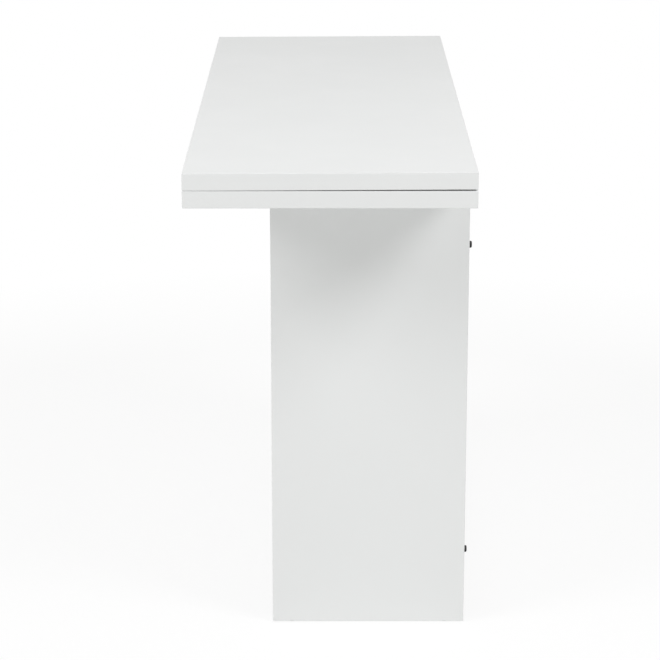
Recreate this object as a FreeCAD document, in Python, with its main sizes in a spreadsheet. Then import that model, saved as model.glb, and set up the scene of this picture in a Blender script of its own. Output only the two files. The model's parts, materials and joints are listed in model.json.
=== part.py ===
"""A swivel extending table, piece by piece.

Two leaves lie folded on a narrow base. They swivel together a quarter turn on a pivot bolt, and
then the upper leaf unfolds on three hinges, so that both lie side by side over the base.

The frame: +X is the back, which stands against a wall, +Y runs along the folded top, and +Z is up.
The origin is on the floor, under the middle of the folded top. Sizes are in millimetres.
"""

import FreeCAD, Part
import Sketcher
import os
import re

SIZES = (
    ("top_length", 1200, "each leaf, along Y"),
    ("top_width", 420, "each leaf, along X"),
    ("table_height", 765, "floor to the upper face of the folded top, at its hinges"),
    ("leaf_thickness", 25, "each leaf"),
    ("fold_gap", 2.4, "between the folded leaves, at the hinges"),
    ("free_edge_gap", 0.3, "between the folded leaves, at the free edge"),
    ("open_gap", 0.5, "between the leaves' edges, unfolded"),
    ("leaf_band", 2, "edge band of a leaf"),
    ("leaf_arris", 1, "rounding of a leaf's edges"),
    ("base_length", 830, "outside the end panels, along Y"),
    ("base_depth", 300, "end panels, along X"),
    ("end_thickness", 25, "end panels"),
    ("carrier_thickness", 25, "panel that carries the pivot"),
    ("back_thickness", 18, "back panel"),
    ("shelf_thickness", 18, "bottom shelf"),
    ("shelf_height", 60, "floor to the underside of the bottom shelf"),
    ("base_band", 1, "edge band of a base panel"),
    ("base_arris", 0.8, "rounding of a base panel's banded edges"),
    ("slide_gap", 2, "between the base and the lower leaf"),
    ("slide_clearance", 0.1, "above the pads and the disc that the lower leaf slides on"),
    ("pad_radius", 10, "slide pad"),
    ("pad_inset", 30, "slide pad's centre from the front or back edge of an end panel"),
    ("glide_height", 2, "floor glide under the panel"),
    ("glide_radius", 9, "floor glide at the floor"),
    ("glide_taper", 1, "floor glide is this much wider at the panel"),
    ("glide_inset", 30, "floor glide's centre from the front or back edge of an end panel"),
    ("nail_radius", 1, "floor glide's nail"),
    ("nail_length", 16, "floor glide's nail in the panel"),
    ("nail_head", 0.8, "floor glide's nail inside the glide"),
    ("bumper_radius", 5.5, "wall bumper"),
    ("bumper_height", 4, "wall bumper"),
    ("bumper_rounding", 2, "wall bumper's outer edge"),
    ("upper_bumper_drop", 102, "upper wall bumper, down from the lower leaf"),
    ("lower_bumper_height", 119, "lower wall bumper, up from the floor"),
    ("swivel_plate_width", 90, "square swivel plate"),
    ("swivel_plate_thickness", 3, "swivel plate"),
    ("swivel_screw_offset", 35, "swivel plate's screws from the pivot, along X and Y"),
    ("bolt_radius", 5, "pivot bolt's shank"),
    ("bolt_head_radius", 11, "pivot bolt's head"),
    ("bolt_head_height", 3, "pivot bolt's head"),
    ("bolt_tail", 2, "pivot bolt below its nut"),
    ("end_chamfer", 1, "ends of the pivot bolt and the stop pin"),
    ("bolt_hole_clearance", 0.15, "pivot bolt in its plate, washers and nut"),
    ("swivel_clearance", 0.05, "pivot bolt in the bush that it turns in"),
    ("disc_radius", 40, "slide disc round the pivot"),
    ("bush_wall", 2.5, "pivot bush"),
    ("bush_flange_radius", 16, "pivot bush's flange"),
    ("bush_flange_thickness", 2, "pivot bush's flange"),
    ("washer_radius", 14, "thrust washer"),
    ("washer_thickness", 2, "thrust washer"),
    ("spring_radius", 10.5, "spring washer"),
    ("spring_thickness", 1.2, "spring washer"),
    ("spring_rise", 0.8, "spring washer's cone"),
    ("nut_across_flats", 17, "pivot nut"),
    ("nut_height", 8, "pivot nut's hexagon"),
    ("nut_collar_height", 2.5, "pivot nut's locking collar"),
    ("nut_collar_step", 0.5, "pivot nut's collar in from the flats"),
    ("nut_collar_taper", 1, "pivot nut's collar narrows by this much"),
    ("stop_pin_radius", 4, "stop pin"),
    ("stop_pin_seat", 20, "stop pin in the carrier panel"),
    ("stop_pin_reach", 8, "stop pin in the lower leaf"),
    ("stop_pin_distance", 120, "stop pin from the pivot"),
    ("stop_groove_depth", 10, "groove that the stop pin runs in"),
    ("swivel_angle", 90, "how far the top turns, in degrees"),
    ("running_gap", 0.3, "between parts that pass each other"),
    ("hinge_length", 60, "hinge, along its pin"),
    ("hinge_inset", 150, "outer hinges' centres from the leaf's ends"),
    ("hinge_leaf_width", 32, "hinge leaf, from the pin"),
    ("hinge_leaf_thickness", 2, "hinge leaf"),
    ("knuckle_radius", 2.5, "hinge knuckle"),
    ("hinge_pin_radius", 1.25, "hinge pin"),
    ("hinge_pin_clearance", 0.05, "hinge pin in the knuckles"),
    ("hinge_screw_spread", 21, "outer hinge screws from the hinge's middle"),
    ("hinge_screw_margin", 9, "outer hinge screws from the hinge leaf's long edge"),
    ("hinge_screw_setback", 15, "middle hinge screw from the pin"),
    ("screw_shank_radius", 1.75, "countersunk screws"),
    ("screw_head_radius", 3.5, "countersunk screws"),
    ("screw_head_height", 1.75, "countersunk screws"),
    ("screw_length", 16, "countersunk screws"),
    ("screw_slot_length", 4, "cross recess of a screw"),
    ("screw_slot_width", 0.9, "cross recess of a screw"),
    ("screw_slot_depth", 1.3, "cross recess of a screw"),
    ("hole_clearance", 0.1, "round a fastener in its hole"),
    ("cam_radius", 7.5, "cam lock"),
    ("cam_reach", 5, "cam lock beyond the middle of its panel"),
    ("cam_setback", 34, "cam lock's axis from the panel's end"),
    ("cam_slot_length", 9, "cross recess of a cam lock"),
    ("cam_slot_width", 1.6, "cross recess of a cam lock"),
    ("cam_slot_depth", 2, "cross recess of a cam lock"),
    ("cam_bolt_radius", 2.5, "cam bolt"),
    ("cam_bolt_head_radius", 3.5, "cam bolt's head"),
    ("cam_bolt_head_length", 3, "cam bolt's head"),
    ("cam_bolt_seat", 11, "cam bolt in the end panel"),
    ("cam_bolt_bore_radius", 4, "hole along the panel for the cam bolt"),
    ("cam_inset", 60, "cam locks from the front and back, or top and bottom, of their panel"),
    ("dowel_radius", 4, "dowel"),
    ("dowel_seat", 14, "dowel in each panel"),
    ("dowel_offset", 32, "dowel beside its cam lock"),
)
NAMES = {name for name, _, _ in SIZES}

# Heights and places that follow from the sizes, as formulas.
LEAF_BOTTOM = "(table_height - 2 * leaf_thickness - fold_gap)"
LEAF_TOP = "(table_height - leaf_thickness - fold_gap)"
UPPER_BOTTOM = "(table_height - leaf_thickness)"
BASE_TOP = f"({LEAF_BOTTOM} - slide_gap)"
CARRIER_BOTTOM = f"({BASE_TOP} - carrier_thickness)"
BACK = "(top_width / 2)"
FRONT = f"({BACK} - base_depth)"
BASE_MIDDLE = f"({BACK} - base_depth / 2)"
END = "(base_length / 2)"
INNER_END = f"({END} - end_thickness)"
INNER_BACK = f"({BACK} - back_thickness)"
END_MIDDLE = f"({END} - end_thickness / 2)"
HINGE_X = f"({BACK} + open_gap / 2)"
HINGE_Z = f"({LEAF_TOP} + fold_gap / 2)"
# A quarter turn about this point brings the hinges over the middle of the base.
PIVOT_X = f"(({BASE_MIDDLE} + {BACK}) / 2)"
PIVOT_Y = f"(({BASE_MIDDLE} - {BACK}) / 2)"
PAD_HEIGHT = "(slide_gap - slide_clearance)"
FOLD_TILT = f"atan((fold_gap - free_edge_gap) / ({HINGE_X} + top_width / 2))"
STACK_BOTTOM = (
    f"({CARRIER_BOTTOM} - bush_flange_thickness - washer_thickness - spring_thickness"
    " - spring_rise - nut_height - nut_collar_height)"
)

Z_UP = (FreeCAD.Vector(0, 0, 1), 0)
Y_UP = (FreeCAD.Vector(1, 0, 0), -90)
X_UP = (FreeCAD.Vector(0, 1, 0), 90)
TURNS = {"x": X_UP, "y": Y_UP, "z": Z_UP}

PARALLEL = 0.999  # cosine above which two directions count as one
TOUCHING = 0.01  # millimetres within which a place counts as on a face

doc = FreeCAD.newDocument("swivel_extending_table")
sheet = doc.addObject("Spreadsheet::Sheet", "sizes")
nodes = []


def fill_sheet():
    """Put every size in the sheet, with its name as the cell's alias."""
    for row, (name, value, note) in enumerate(SIZES, start=1):
        sheet.set(f"A{row}", name)
        sheet.set(f"B{row}", str(value))
        sheet.setAlias(f"B{row}", name)
        sheet.set(f"C{row}", note)
    doc.recompute()


def formula(text):
    """Point the size names in a formula at the sheet."""
    return re.sub(
        r"[a-z_]+",
        lambda found: f"sizes.{found[0]}" if found[0] in NAMES else found[0],
        str(text),
    )


def bind(thing, **formulas):
    for name, text in formulas.items():
        thing.setExpression(name, formula(text))


def place(thing, place_at, turn=Z_UP):
    """Turn a piece, and bind its place to three formulas."""
    thing.Placement = FreeCAD.Placement(FreeCAD.Vector(), FreeCAD.Rotation(*turn))
    for axis, text in zip("xyz", place_at):
        thing.setExpression(f"Placement.Base.{axis}", formula(text))


def box(low, size):
    thing = doc.addObject("Part::Box", "block")
    bind(thing, Length=size[0], Width=size[1], Height=size[2])
    place(thing, low)
    return thing


def cylinder(start, radius, length, axis="z"):
    thing = doc.addObject("Part::Cylinder", "rod")
    bind(thing, Radius=radius, Height=length)
    place(thing, start, TURNS[axis])
    return thing


def cone(start, start_radius, end_radius, length, axis="z"):
    thing = doc.addObject("Part::Cone", "taper")
    bind(thing, Radius1=start_radius, Radius2=end_radius, Height=length)
    place(thing, start, TURNS[axis])
    return thing


def fuse(pieces):
    thing = doc.addObject("Part::MultiFuse", "joined")
    thing.Shapes = pieces
    return thing


def cut(piece, tools):
    thing = doc.addObject("Part::Cut", "cut")
    thing.Base = piece
    thing.Tool = tools[0] if len(tools) == 1 else fuse(tools)
    return thing


def common(piece, tool):
    thing = doc.addObject("Part::Common", "shared")
    thing.Base = piece
    thing.Tool = tool
    return thing


def group(pieces):
    thing = doc.addObject("Part::Compound", "set")
    thing.Links = pieces
    return thing


def node(name, thing):
    """Name a finished piece, which is written to a file of that name."""
    thing.Label = name
    nodes.append(thing)
    return thing


class Seat:
    """A place on the table with its own axes u, v and w, each along one of the table's axes."""

    def __init__(self, origin, u, v, w):
        self.origin = origin
        self.axes = (u, v, w)

    def spread(self, low, size):
        """The table's low corner and size of a box given along u, v and w."""
        corner = list(self.origin)
        extent = [None, None, None]
        for (sign, letter), start, length in zip(self.axes, low, size):
            k = "xyz".index(letter)
            extent[k] = length
            if sign == "+":
                corner[k] = f"({self.origin[k]} + {start})"
            else:
                corner[k] = f"({self.origin[k]} - {start} - {length})"
        return corner, extent

    def box(self, low, size):
        return box(*self.spread(low, size))

    def run(self, start, length, axis):
        """Start point, sign and letter of a round piece that runs along u, v or w."""
        size = [0, 0, 0]
        size["uvw".index(axis)] = length
        corner, _ = self.spread(start, size)
        sign, letter = self.axes["uvw".index(axis)]
        return corner, sign, letter

    def cylinder(self, start, radius, length, axis):
        corner, _, letter = self.run(start, length, axis)
        return cylinder(corner, radius, length, letter)

    def cone(self, start, start_radius, end_radius, length, axis):
        corner, sign, letter = self.run(start, length, axis)
        radii = (start_radius, end_radius) if sign == "+" else (end_radius, start_radius)
        return cone(corner, *radii, length, letter)


def round_edges(block, body, radius, wanted):
    """Round those edges of a body's block that pass a test."""
    doc.recompute()
    edges = [f"Edge{k}" for k, edge in enumerate(block.Shape.Edges, start=1) if wanted(edge)]
    rounding = body.newObject("PartDesign::Fillet", "rounding")
    rounding.Base = (block, edges)
    bind(rounding, Radius=radius)


def rounded_block(low, size, radius, wanted):
    body = doc.addObject("PartDesign::Body", "outline")
    block = body.newObject("PartDesign::AdditiveBox", "block")
    bind(block, Length=size[0], Width=size[1], Height=size[2])
    round_edges(block, body, radius, wanted)
    place(body, low)
    return body


def runs_along(edge, axis):
    along = edge.Vertexes[1].Point - edge.Vertexes[0].Point
    return abs(along.normalize().dot(axis)) > PARALLEL


def turned(profile, place_at, axis="z"):
    """A turned piece: its half section, as (radius, height) formulas, swept round its axis."""
    body = doc.addObject("PartDesign::Body", "turned")
    sketch = body.newObject("Sketcher::SketchObject", "half_section")
    plane = [f for f in body.Origin.OriginFeatures if f.Role == "XZ_Plane"][0]
    sketch.AttachmentSupport = [(plane, "")]
    sketch.MapMode = "FlatFace"
    points = []
    for radius, height in profile:
        x = body.evalExpression(formula(radius))
        y = body.evalExpression(formula(height))
        points.append(FreeCAD.Vector(x, y, 0))
    count = len(points)
    for k in range(count):
        sketch.addGeometry(Part.LineSegment(points[k], points[(k + 1) % count]), False)
    for k in range(count):
        sketch.addConstraint(Sketcher.Constraint("Coincident", k, 2, (k + 1) % count, 1))
    for k, (radius, height) in enumerate(profile):
        for kind, text, axis_line, value in (
            ("DistanceX", radius, -2, points[k].x),
            ("DistanceY", height, -1, points[k].y),
        ):
            if text == 0:
                sketch.addConstraint(Sketcher.Constraint("PointOnObject", k, 1, axis_line))
                continue
            index = sketch.addConstraint(Sketcher.Constraint(kind, -1, 1, k, 1, value))
            sketch.setExpression(f"Constraints[{index}]", formula(text))
    sweep = body.newObject("PartDesign::Revolution", "sweep")
    sweep.Profile = sketch
    sweep.ReferenceAxis = (sketch, ["V_Axis"])
    sweep.Angle = 360
    place(body, place_at, TURNS[axis])
    return body


def screw(seat, u, v, w):
    """A countersunk screw with its head at v, driven along v."""
    head = seat.cone((u, v, w), "screw_head_radius", "screw_shank_radius", "screw_head_height", "v")
    below_head = f"({v} + screw_head_height)"
    shank_length = "(screw_length - screw_head_height)"
    shank = seat.cylinder((u, below_head, w), "screw_shank_radius", shank_length, "v")
    half_length = "screw_slot_length / 2"
    half_width = "screw_slot_width / 2"
    long_cut = seat.box(
        (f"({u} - {half_length})", v, f"({w} - {half_width})"),
        ("screw_slot_length", "screw_slot_depth", "screw_slot_width"),
    )
    cross_cut = seat.box(
        (f"({u} - {half_width})", v, f"({w} - {half_length})"),
        ("screw_slot_width", "screw_slot_depth", "screw_slot_length"),
    )
    return cut(fuse([head, shank]), [long_cut, cross_cut])


def screw_hole(seat, u, v, w):
    """The hole that a screw cuts in a board, from its head's face to past its end."""
    radius = "(screw_shank_radius + hole_clearance)"
    return seat.cylinder((u, v, w), radius, "(screw_length + hole_clearance)", "v")


def countersink(seat, u, v, w):
    """The hole for a screw through a plate that its head sits flush in."""
    bore = seat.cylinder((u, v, w), "(screw_shank_radius + hole_clearance)", "screw_length", "v")
    mouth = seat.cone(
        (u, v, w),
        "(screw_head_radius + hole_clearance)",
        "(screw_shank_radius + hole_clearance)",
        "screw_head_height",
        "v",
    )
    return [bore, mouth]


# --- the leaves ----------------------------------------------------------------------------


def leaf_bands(name, bottom):
    """The four edge bands of a leaf, cut from its rounded outline, by side."""
    outline = rounded_block(
        ("-top_width / 2", "-top_length / 2", bottom),
        ("top_width", "top_length", "leaf_thickness"),
        "leaf_arris",
        lambda edge: True,
    )
    inner_length = "(top_length - 2 * leaf_band)"
    slabs = {
        "near": (("-top_width / 2", "-top_length / 2"), ("top_width", "leaf_band")),
        "far": (("-top_width / 2", "top_length / 2 - leaf_band"), ("top_width", "leaf_band")),
        "front": (("-top_width / 2", f"-{inner_length} / 2"), ("leaf_band", inner_length)),
        "back": (("top_width / 2 - leaf_band", f"-{inner_length} / 2"), ("leaf_band", inner_length)),
    }
    bands = {}
    for side, (low, size) in slabs.items():
        slab = box((*low, bottom), (*size, "leaf_thickness"))
        bands[f"{name}_{side}_band"] = common(outline, slab)
    return bands


def leaf_board(bottom):
    return box(
        ("-top_width / 2 + leaf_band", "-top_length / 2 + leaf_band", bottom),
        ("top_width - 2 * leaf_band", "top_length - 2 * leaf_band", "leaf_thickness"),
    )


HINGES = {
    "near": "(-top_length / 2 + hinge_inset)",
    "middle": "0",
    "far": "(top_length / 2 - hinge_inset)",
}
KNUCKLES = 5
LOWER_KNUCKLES = (0, 2, 4)
UPPER_KNUCKLES = (1, 3)
KNUCKLE_PITCH = f"(hinge_length / {KNUCKLES})"
HINGE_SCREWS = (
    ("(hinge_leaf_width - hinge_screw_margin)", "-hinge_screw_spread"),
    ("(hinge_leaf_width - hinge_screw_margin)", "hinge_screw_spread"),
    ("hinge_screw_setback", "0"),
)


def hinge_seat(y, down):
    """On the hinge pin: u runs into the leaf, v away from the other leaf, w along the pin."""
    return Seat((HINGE_X, y, HINGE_Z), "-x", "-z" if down else "+z", "+y")


def hinge_leaf(seat, own_knuckles):
    """One half of a hinge: a flush plate, its knuckles, and the holes for pin and screws."""
    half = "hinge_length / 2"
    plate = seat.box(
        (0, "fold_gap / 2", f"-{half}"),
        ("hinge_leaf_width", "hinge_leaf_thickness", "hinge_length"),
    )
    knuckles = []
    gaps = []
    for k in range(KNUCKLES):
        start = f"({k} * {KNUCKLE_PITCH} - {half})"
        if k in own_knuckles:
            low = f"({start} + running_gap / 2)"
            length = f"({KNUCKLE_PITCH} - running_gap)"
            knuckles.append(seat.cylinder((0, 0, low), "knuckle_radius", length, "w"))
            continue
        low = f"({start} - running_gap / 2)"
        length = f"({KNUCKLE_PITCH} + running_gap)"
        reach = "(knuckle_radius + running_gap)"
        gaps.append(seat.box((f"-{reach}", f"-{reach}", low), (f"2 * {reach}", f"3 * {reach}", length)))
    pin_hole = seat.cylinder(
        (0, 0, f"-{half} - running_gap"),
        "(hinge_pin_radius + hinge_pin_clearance)",
        "(hinge_length + 2 * running_gap)",
        "w",
    )
    sinks = []
    for u, w in HINGE_SCREWS:
        sinks += countersink(seat, u, "fold_gap / 2", w)
    return cut(cut(fuse([plate, *knuckles]), gaps), [pin_hole, *sinks])


def hinge_notch(seat):
    """What the leaf's board and band lose to a hinge: its plate's mortise and its barrel."""
    half = "(hinge_length / 2 + running_gap)"
    mortise = seat.box(
        ("-running_gap", 0, f"-{half}"),
        (
            "(hinge_leaf_width + 2 * running_gap)",
            "(fold_gap / 2 + hinge_leaf_thickness)",
            f"(2 * {half})",
        ),
    )
    barrel = seat.cylinder((0, 0, f"-{half}"), "(knuckle_radius + running_gap)", f"(2 * {half})", "w")
    return [mortise, barrel]


def leaf_hinges(name, down, own_knuckles):
    """A leaf's halves of the hinges, their screws, and what the board and band lose to them."""
    notches = []
    holes = []
    screws = []
    for side, y in HINGES.items():
        seat = hinge_seat(y, down)
        node(f"{side}_hinge_{name}_half", hinge_leaf(seat, own_knuckles))
        notches += hinge_notch(seat)
        for u, w in HINGE_SCREWS:
            screws.append(screw(seat, u, "fold_gap / 2", w))
            holes.append(screw_hole(seat, u, "fold_gap / 2", w))
    node(f"{name}_hinge_screws", group(screws))
    return notches, holes


def swivel_seat():
    """On the lower leaf's underside at the pivot, with v up into the leaf."""
    return Seat((PIVOT_X, PIVOT_Y, LEAF_BOTTOM), "+x", "+z", "+y")


def swivel_screw_places():
    offset = "swivel_screw_offset"
    return [(f"({a}{offset})", f"({b}{offset})") for a in "+-" for b in "+-"]


def stop_groove():
    """The arc in the lower leaf's underside that the stop pin runs in.

    The pin stands at one end of it with the top folded, and at the other after the turn.
    """
    radius = "(stop_pin_radius + running_gap)"
    start_angle = "(180 - swivel_angle / 2)"
    sector = cylinder(
        (PIVOT_X, PIVOT_Y, LEAF_BOTTOM), f"(stop_pin_distance + {radius})", "stop_groove_depth"
    )
    bind(sector, Angle="swivel_angle")
    sector.setExpression("Placement.Rotation.Angle", formula(start_angle))
    core = cylinder(
        (PIVOT_X, PIVOT_Y, LEAF_BOTTOM), f"(stop_pin_distance - {radius})", "stop_groove_depth"
    )
    ends = []
    for angle in (start_angle, "(180 + swivel_angle / 2)"):
        x = f"({PIVOT_X} + stop_pin_distance * cos({angle}))"
        y = f"({PIVOT_Y} + stop_pin_distance * sin({angle}))"
        ends.append(cylinder((x, y, LEAF_BOTTOM), radius, "stop_groove_depth"))
    return [cut(sector, [core]), *ends]


def make_lower_leaf():
    notches, holes = leaf_hinges("lower", True, LOWER_KNUCKLES)
    seat = swivel_seat()
    half = "swivel_plate_width / 2"
    room = "hole_clearance"
    plate_pocket = seat.box(
        (f"(-{half} - {room})", 0, f"(-{half} - {room})"),
        (
            f"(swivel_plate_width + 2 * {room})",
            "swivel_plate_thickness",
            f"(swivel_plate_width + 2 * {room})",
        ),
    )
    head_pocket = seat.cylinder(
        (0, 0, 0),
        f"(bolt_head_radius + {room})",
        f"(swivel_plate_thickness + bolt_head_height + {room})",
        "v",
    )
    plate_holes = [screw_hole(seat, u, 0, w) for u, w in swivel_screw_places()]
    tools = [plate_pocket, head_pocket, *plate_holes, *stop_groove(), *notches, *holes]
    node("lower_leaf", cut(leaf_board(LEAF_BOTTOM), tools))
    for name, band in leaf_bands("lower", LEAF_BOTTOM).items():
        node(name, cut(band, notches) if "back" in name else band)


def tilt(thing):
    """Lower the folded upper leaf's free edge, by a turn about the hinge pins."""
    thing.Placement = FreeCAD.Placement(
        FreeCAD.Vector(), FreeCAD.Rotation(FreeCAD.Vector(0, 1, 0), -1)
    )
    x = f"{HINGE_X} * (1 - cos({FOLD_TILT})) + {HINGE_Z} * sin({FOLD_TILT})"
    z = f"{HINGE_Z} * (1 - cos({FOLD_TILT})) - {HINGE_X} * sin({FOLD_TILT})"
    thing.setExpression("Placement.Base.x", formula(x))
    thing.setExpression("Placement.Base.z", formula(z))
    thing.setExpression("Placement.Rotation.Angle", formula(f"-{FOLD_TILT}"))


def make_upper_leaf():
    first = len(nodes)
    notches, holes = leaf_hinges("upper", False, UPPER_KNUCKLES)
    node("upper_leaf", cut(leaf_board(UPPER_BOTTOM), [*notches, *holes]))
    for name, band in leaf_bands("upper", UPPER_BOTTOM).items():
        node(name, cut(band, notches) if "back" in name else band)
    for thing in nodes[first:]:
        tilt(thing)


def make_hinge_pins():
    for side, y in HINGES.items():
        seat = hinge_seat(y, True)
        pin = seat.cylinder((0, 0, "-hinge_length / 2"), "hinge_pin_radius", "hinge_length", "w")
        node(f"{side}_hinge_pin", pin)


# --- the swivel ----------------------------------------------------------------------------


def make_swivel():
    seat = swivel_seat()
    half = "swivel_plate_width / 2"
    plate = seat.box(
        (f"-{half}", 0, f"-{half}"),
        ("swivel_plate_width", "swivel_plate_thickness", "swivel_plate_width"),
    )
    bolt_hole = seat.cylinder(
        (0, 0, 0), "(bolt_radius + bolt_hole_clearance)", "swivel_plate_thickness", "v"
    )
    sinks = []
    for u, w in swivel_screw_places():
        sinks += countersink(seat, u, 0, w)
    node("swivel_plate", cut(plate, [bolt_hole, *sinks]))
    node("swivel_plate_screws", group([screw(seat, u, 0, w) for u, w in swivel_screw_places()]))

    bolt_end = f"({STACK_BOTTOM} - bolt_tail)"
    shank_top = f"({LEAF_BOTTOM} + swivel_plate_thickness - {bolt_end})"
    bolt = turned(
        (
            (0, 0),
            ("bolt_radius - end_chamfer", 0),
            ("bolt_radius", "end_chamfer"),
            ("bolt_radius", shank_top),
            ("bolt_head_radius", shank_top),
            ("bolt_head_radius", f"{shank_top} + bolt_head_height"),
            (0, f"{shank_top} + bolt_head_height"),
        ),
        (PIVOT_X, PIVOT_Y, bolt_end),
    )
    node("pivot_bolt", bolt)

    disc_bore = "(bolt_radius + running_gap + slide_clearance)"
    disc = turned(
        (
            (disc_bore, 0),
            ("disc_radius", 0),
            ("disc_radius", PAD_HEIGHT),
            (disc_bore, PAD_HEIGHT),
        ),
        (PIVOT_X, PIVOT_Y, BASE_TOP),
    )
    node("slide_disc", disc)

    bush_bore = "(bolt_radius + swivel_clearance)"
    bush_outside = "(bolt_radius + bush_wall)"
    bush_length = "(bush_flange_thickness + carrier_thickness)"
    bush = turned(
        (
            (bush_bore, 0),
            ("bush_flange_radius", 0),
            ("bush_flange_radius", "bush_flange_thickness"),
            (bush_outside, "bush_flange_thickness"),
            (bush_outside, bush_length),
            (bush_bore, bush_length),
        ),
        (PIVOT_X, PIVOT_Y, f"({CARRIER_BOTTOM} - bush_flange_thickness)"),
    )
    node("pivot_bush", bush)

    bore = "(bolt_radius + bolt_hole_clearance)"
    washer_bottom = f"({CARRIER_BOTTOM} - bush_flange_thickness - washer_thickness)"
    washer = turned(
        (
            (bore, 0),
            ("washer_radius", 0),
            ("washer_radius", "washer_thickness"),
            (bore, "washer_thickness"),
        ),
        (PIVOT_X, PIVOT_Y, washer_bottom),
    )
    node("thrust_washer", washer)

    spring_bottom = f"({washer_bottom} - spring_thickness - spring_rise)"
    spring = turned(
        (
            (bore, 0),
            ("spring_radius", "spring_rise"),
            ("spring_radius", "spring_rise + spring_thickness"),
            (bore, "spring_thickness"),
        ),
        (PIVOT_X, PIVOT_Y, spring_bottom),
    )
    node("spring_washer", spring)

    hexagon = doc.addObject("Part::Prism", "hexagon")
    hexagon.Polygon = 6
    bind(hexagon, Circumradius="nut_across_flats / sqrt(3)", Height="nut_height")
    place(hexagon, (PIVOT_X, PIVOT_Y, f"({spring_bottom} - nut_height)"))
    collar = cone(
        (PIVOT_X, PIVOT_Y, STACK_BOTTOM),
        "(nut_across_flats / 2 - nut_collar_step - nut_collar_taper)",
        "(nut_across_flats / 2 - nut_collar_step)",
        "nut_collar_height",
    )
    thread = cylinder((PIVOT_X, PIVOT_Y, bolt_end), bore, "table_height")
    node("pivot_nut", cut(fuse([hexagon, collar]), [thread]))


def stop_pin_place():
    angle = "(180 + swivel_angle / 2)"
    x = f"({PIVOT_X} + stop_pin_distance * cos({angle}))"
    y = f"({PIVOT_Y} + stop_pin_distance * sin({angle}))"
    return x, y


def make_stop_pin():
    x, y = stop_pin_place()
    length = "(stop_pin_seat + slide_gap + stop_pin_reach)"
    pin = turned(
        (
            (0, 0),
            ("stop_pin_radius", 0),
            ("stop_pin_radius", f"{length} - end_chamfer"),
            ("stop_pin_radius - end_chamfer", length),
            (0, length),
        ),
        (x, y, f"({BASE_TOP} - stop_pin_seat)"),
    )
    node("stop_pin", pin)


# --- the base ------------------------------------------------------------------------------


def panel_joint(seat, thickness):
    """A cam lock, its bolt and a dowel between a panel's end and an end panel's inner face.

    u runs into the end panel from its inner face, v into the panel from the face with the cam
    in it, and w along the joint. Gives the pieces, the cuts in the panel and those in the end.
    """
    middle = f"({thickness} / 2)"
    cam_height = f"({middle} + cam_reach)"
    head_room = "(cam_bolt_head_radius + running_gap)"
    shank_room = "(cam_bolt_radius + running_gap)"
    cam = seat.cylinder(("-cam_setback", 0, 0), "cam_radius", cam_height, "v")
    channel = seat.box(
        ("-cam_setback", f"({middle} - {shank_room})", f"-{shank_room}"),
        ("2 * cam_radius", f"(2 * {shank_room})", f"(2 * {shank_room})"),
    )
    head_length = "(cam_bolt_head_length + 2 * running_gap)"
    cavity = seat.box(
        (f"(-cam_setback - {head_length} / 2)", f"({middle} - {head_room})", f"-{head_room}"),
        (head_length, f"(2 * {head_room})", f"(2 * {head_room})"),
    )
    long_cut = seat.box(
        ("(-cam_setback - cam_slot_length / 2)", 0, "-cam_slot_width / 2"),
        ("cam_slot_length", "cam_slot_depth", "cam_slot_width"),
    )
    cross_cut = seat.box(
        ("(-cam_setback - cam_slot_width / 2)", 0, "-cam_slot_length / 2"),
        ("cam_slot_width", "cam_slot_depth", "cam_slot_length"),
    )
    head = seat.cylinder(
        ("(-cam_setback - cam_bolt_head_length / 2)", middle, 0),
        "cam_bolt_head_radius",
        "cam_bolt_head_length",
        "u",
    )
    shank = seat.cylinder(
        ("-cam_setback", middle, 0), "cam_bolt_radius", "(cam_setback + cam_bolt_seat)", "u"
    )
    dowel_place = ("-dowel_seat", middle, "dowel_offset")
    dowel = seat.cylinder(dowel_place, "dowel_radius", "2 * dowel_seat", "u")
    pieces = {
        "cam_locks": cut(cam, [channel, cavity, long_cut, cross_cut]),
        "cam_bolts": fuse([head, shank]),
        "dowels": dowel,
    }

    cam_room = "(cam_radius + hole_clearance)"
    bolt_room = "(cam_bolt_radius + hole_clearance)"
    dowel_room = "(dowel_radius + hole_clearance)"
    panel_cuts = [
        seat.cylinder(("-cam_setback", 0, 0), cam_room, f"({cam_height} + hole_clearance)", "v"),
        seat.cylinder(("-cam_setback", middle, 0), "cam_bolt_bore_radius", "cam_setback", "u"),
        seat.cylinder(
            ("(-dowel_seat - hole_clearance)", middle, "dowel_offset"),
            dowel_room,
            "(dowel_seat + hole_clearance)",
            "u",
        ),
    ]
    end_cuts = [
        seat.cylinder((0, middle, 0), bolt_room, "(cam_bolt_seat + hole_clearance)", "u"),
        seat.cylinder((0, middle, "dowel_offset"), dowel_room, "(dowel_seat + hole_clearance)", "u"),
    ]
    return pieces, panel_cuts, end_cuts


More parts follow.
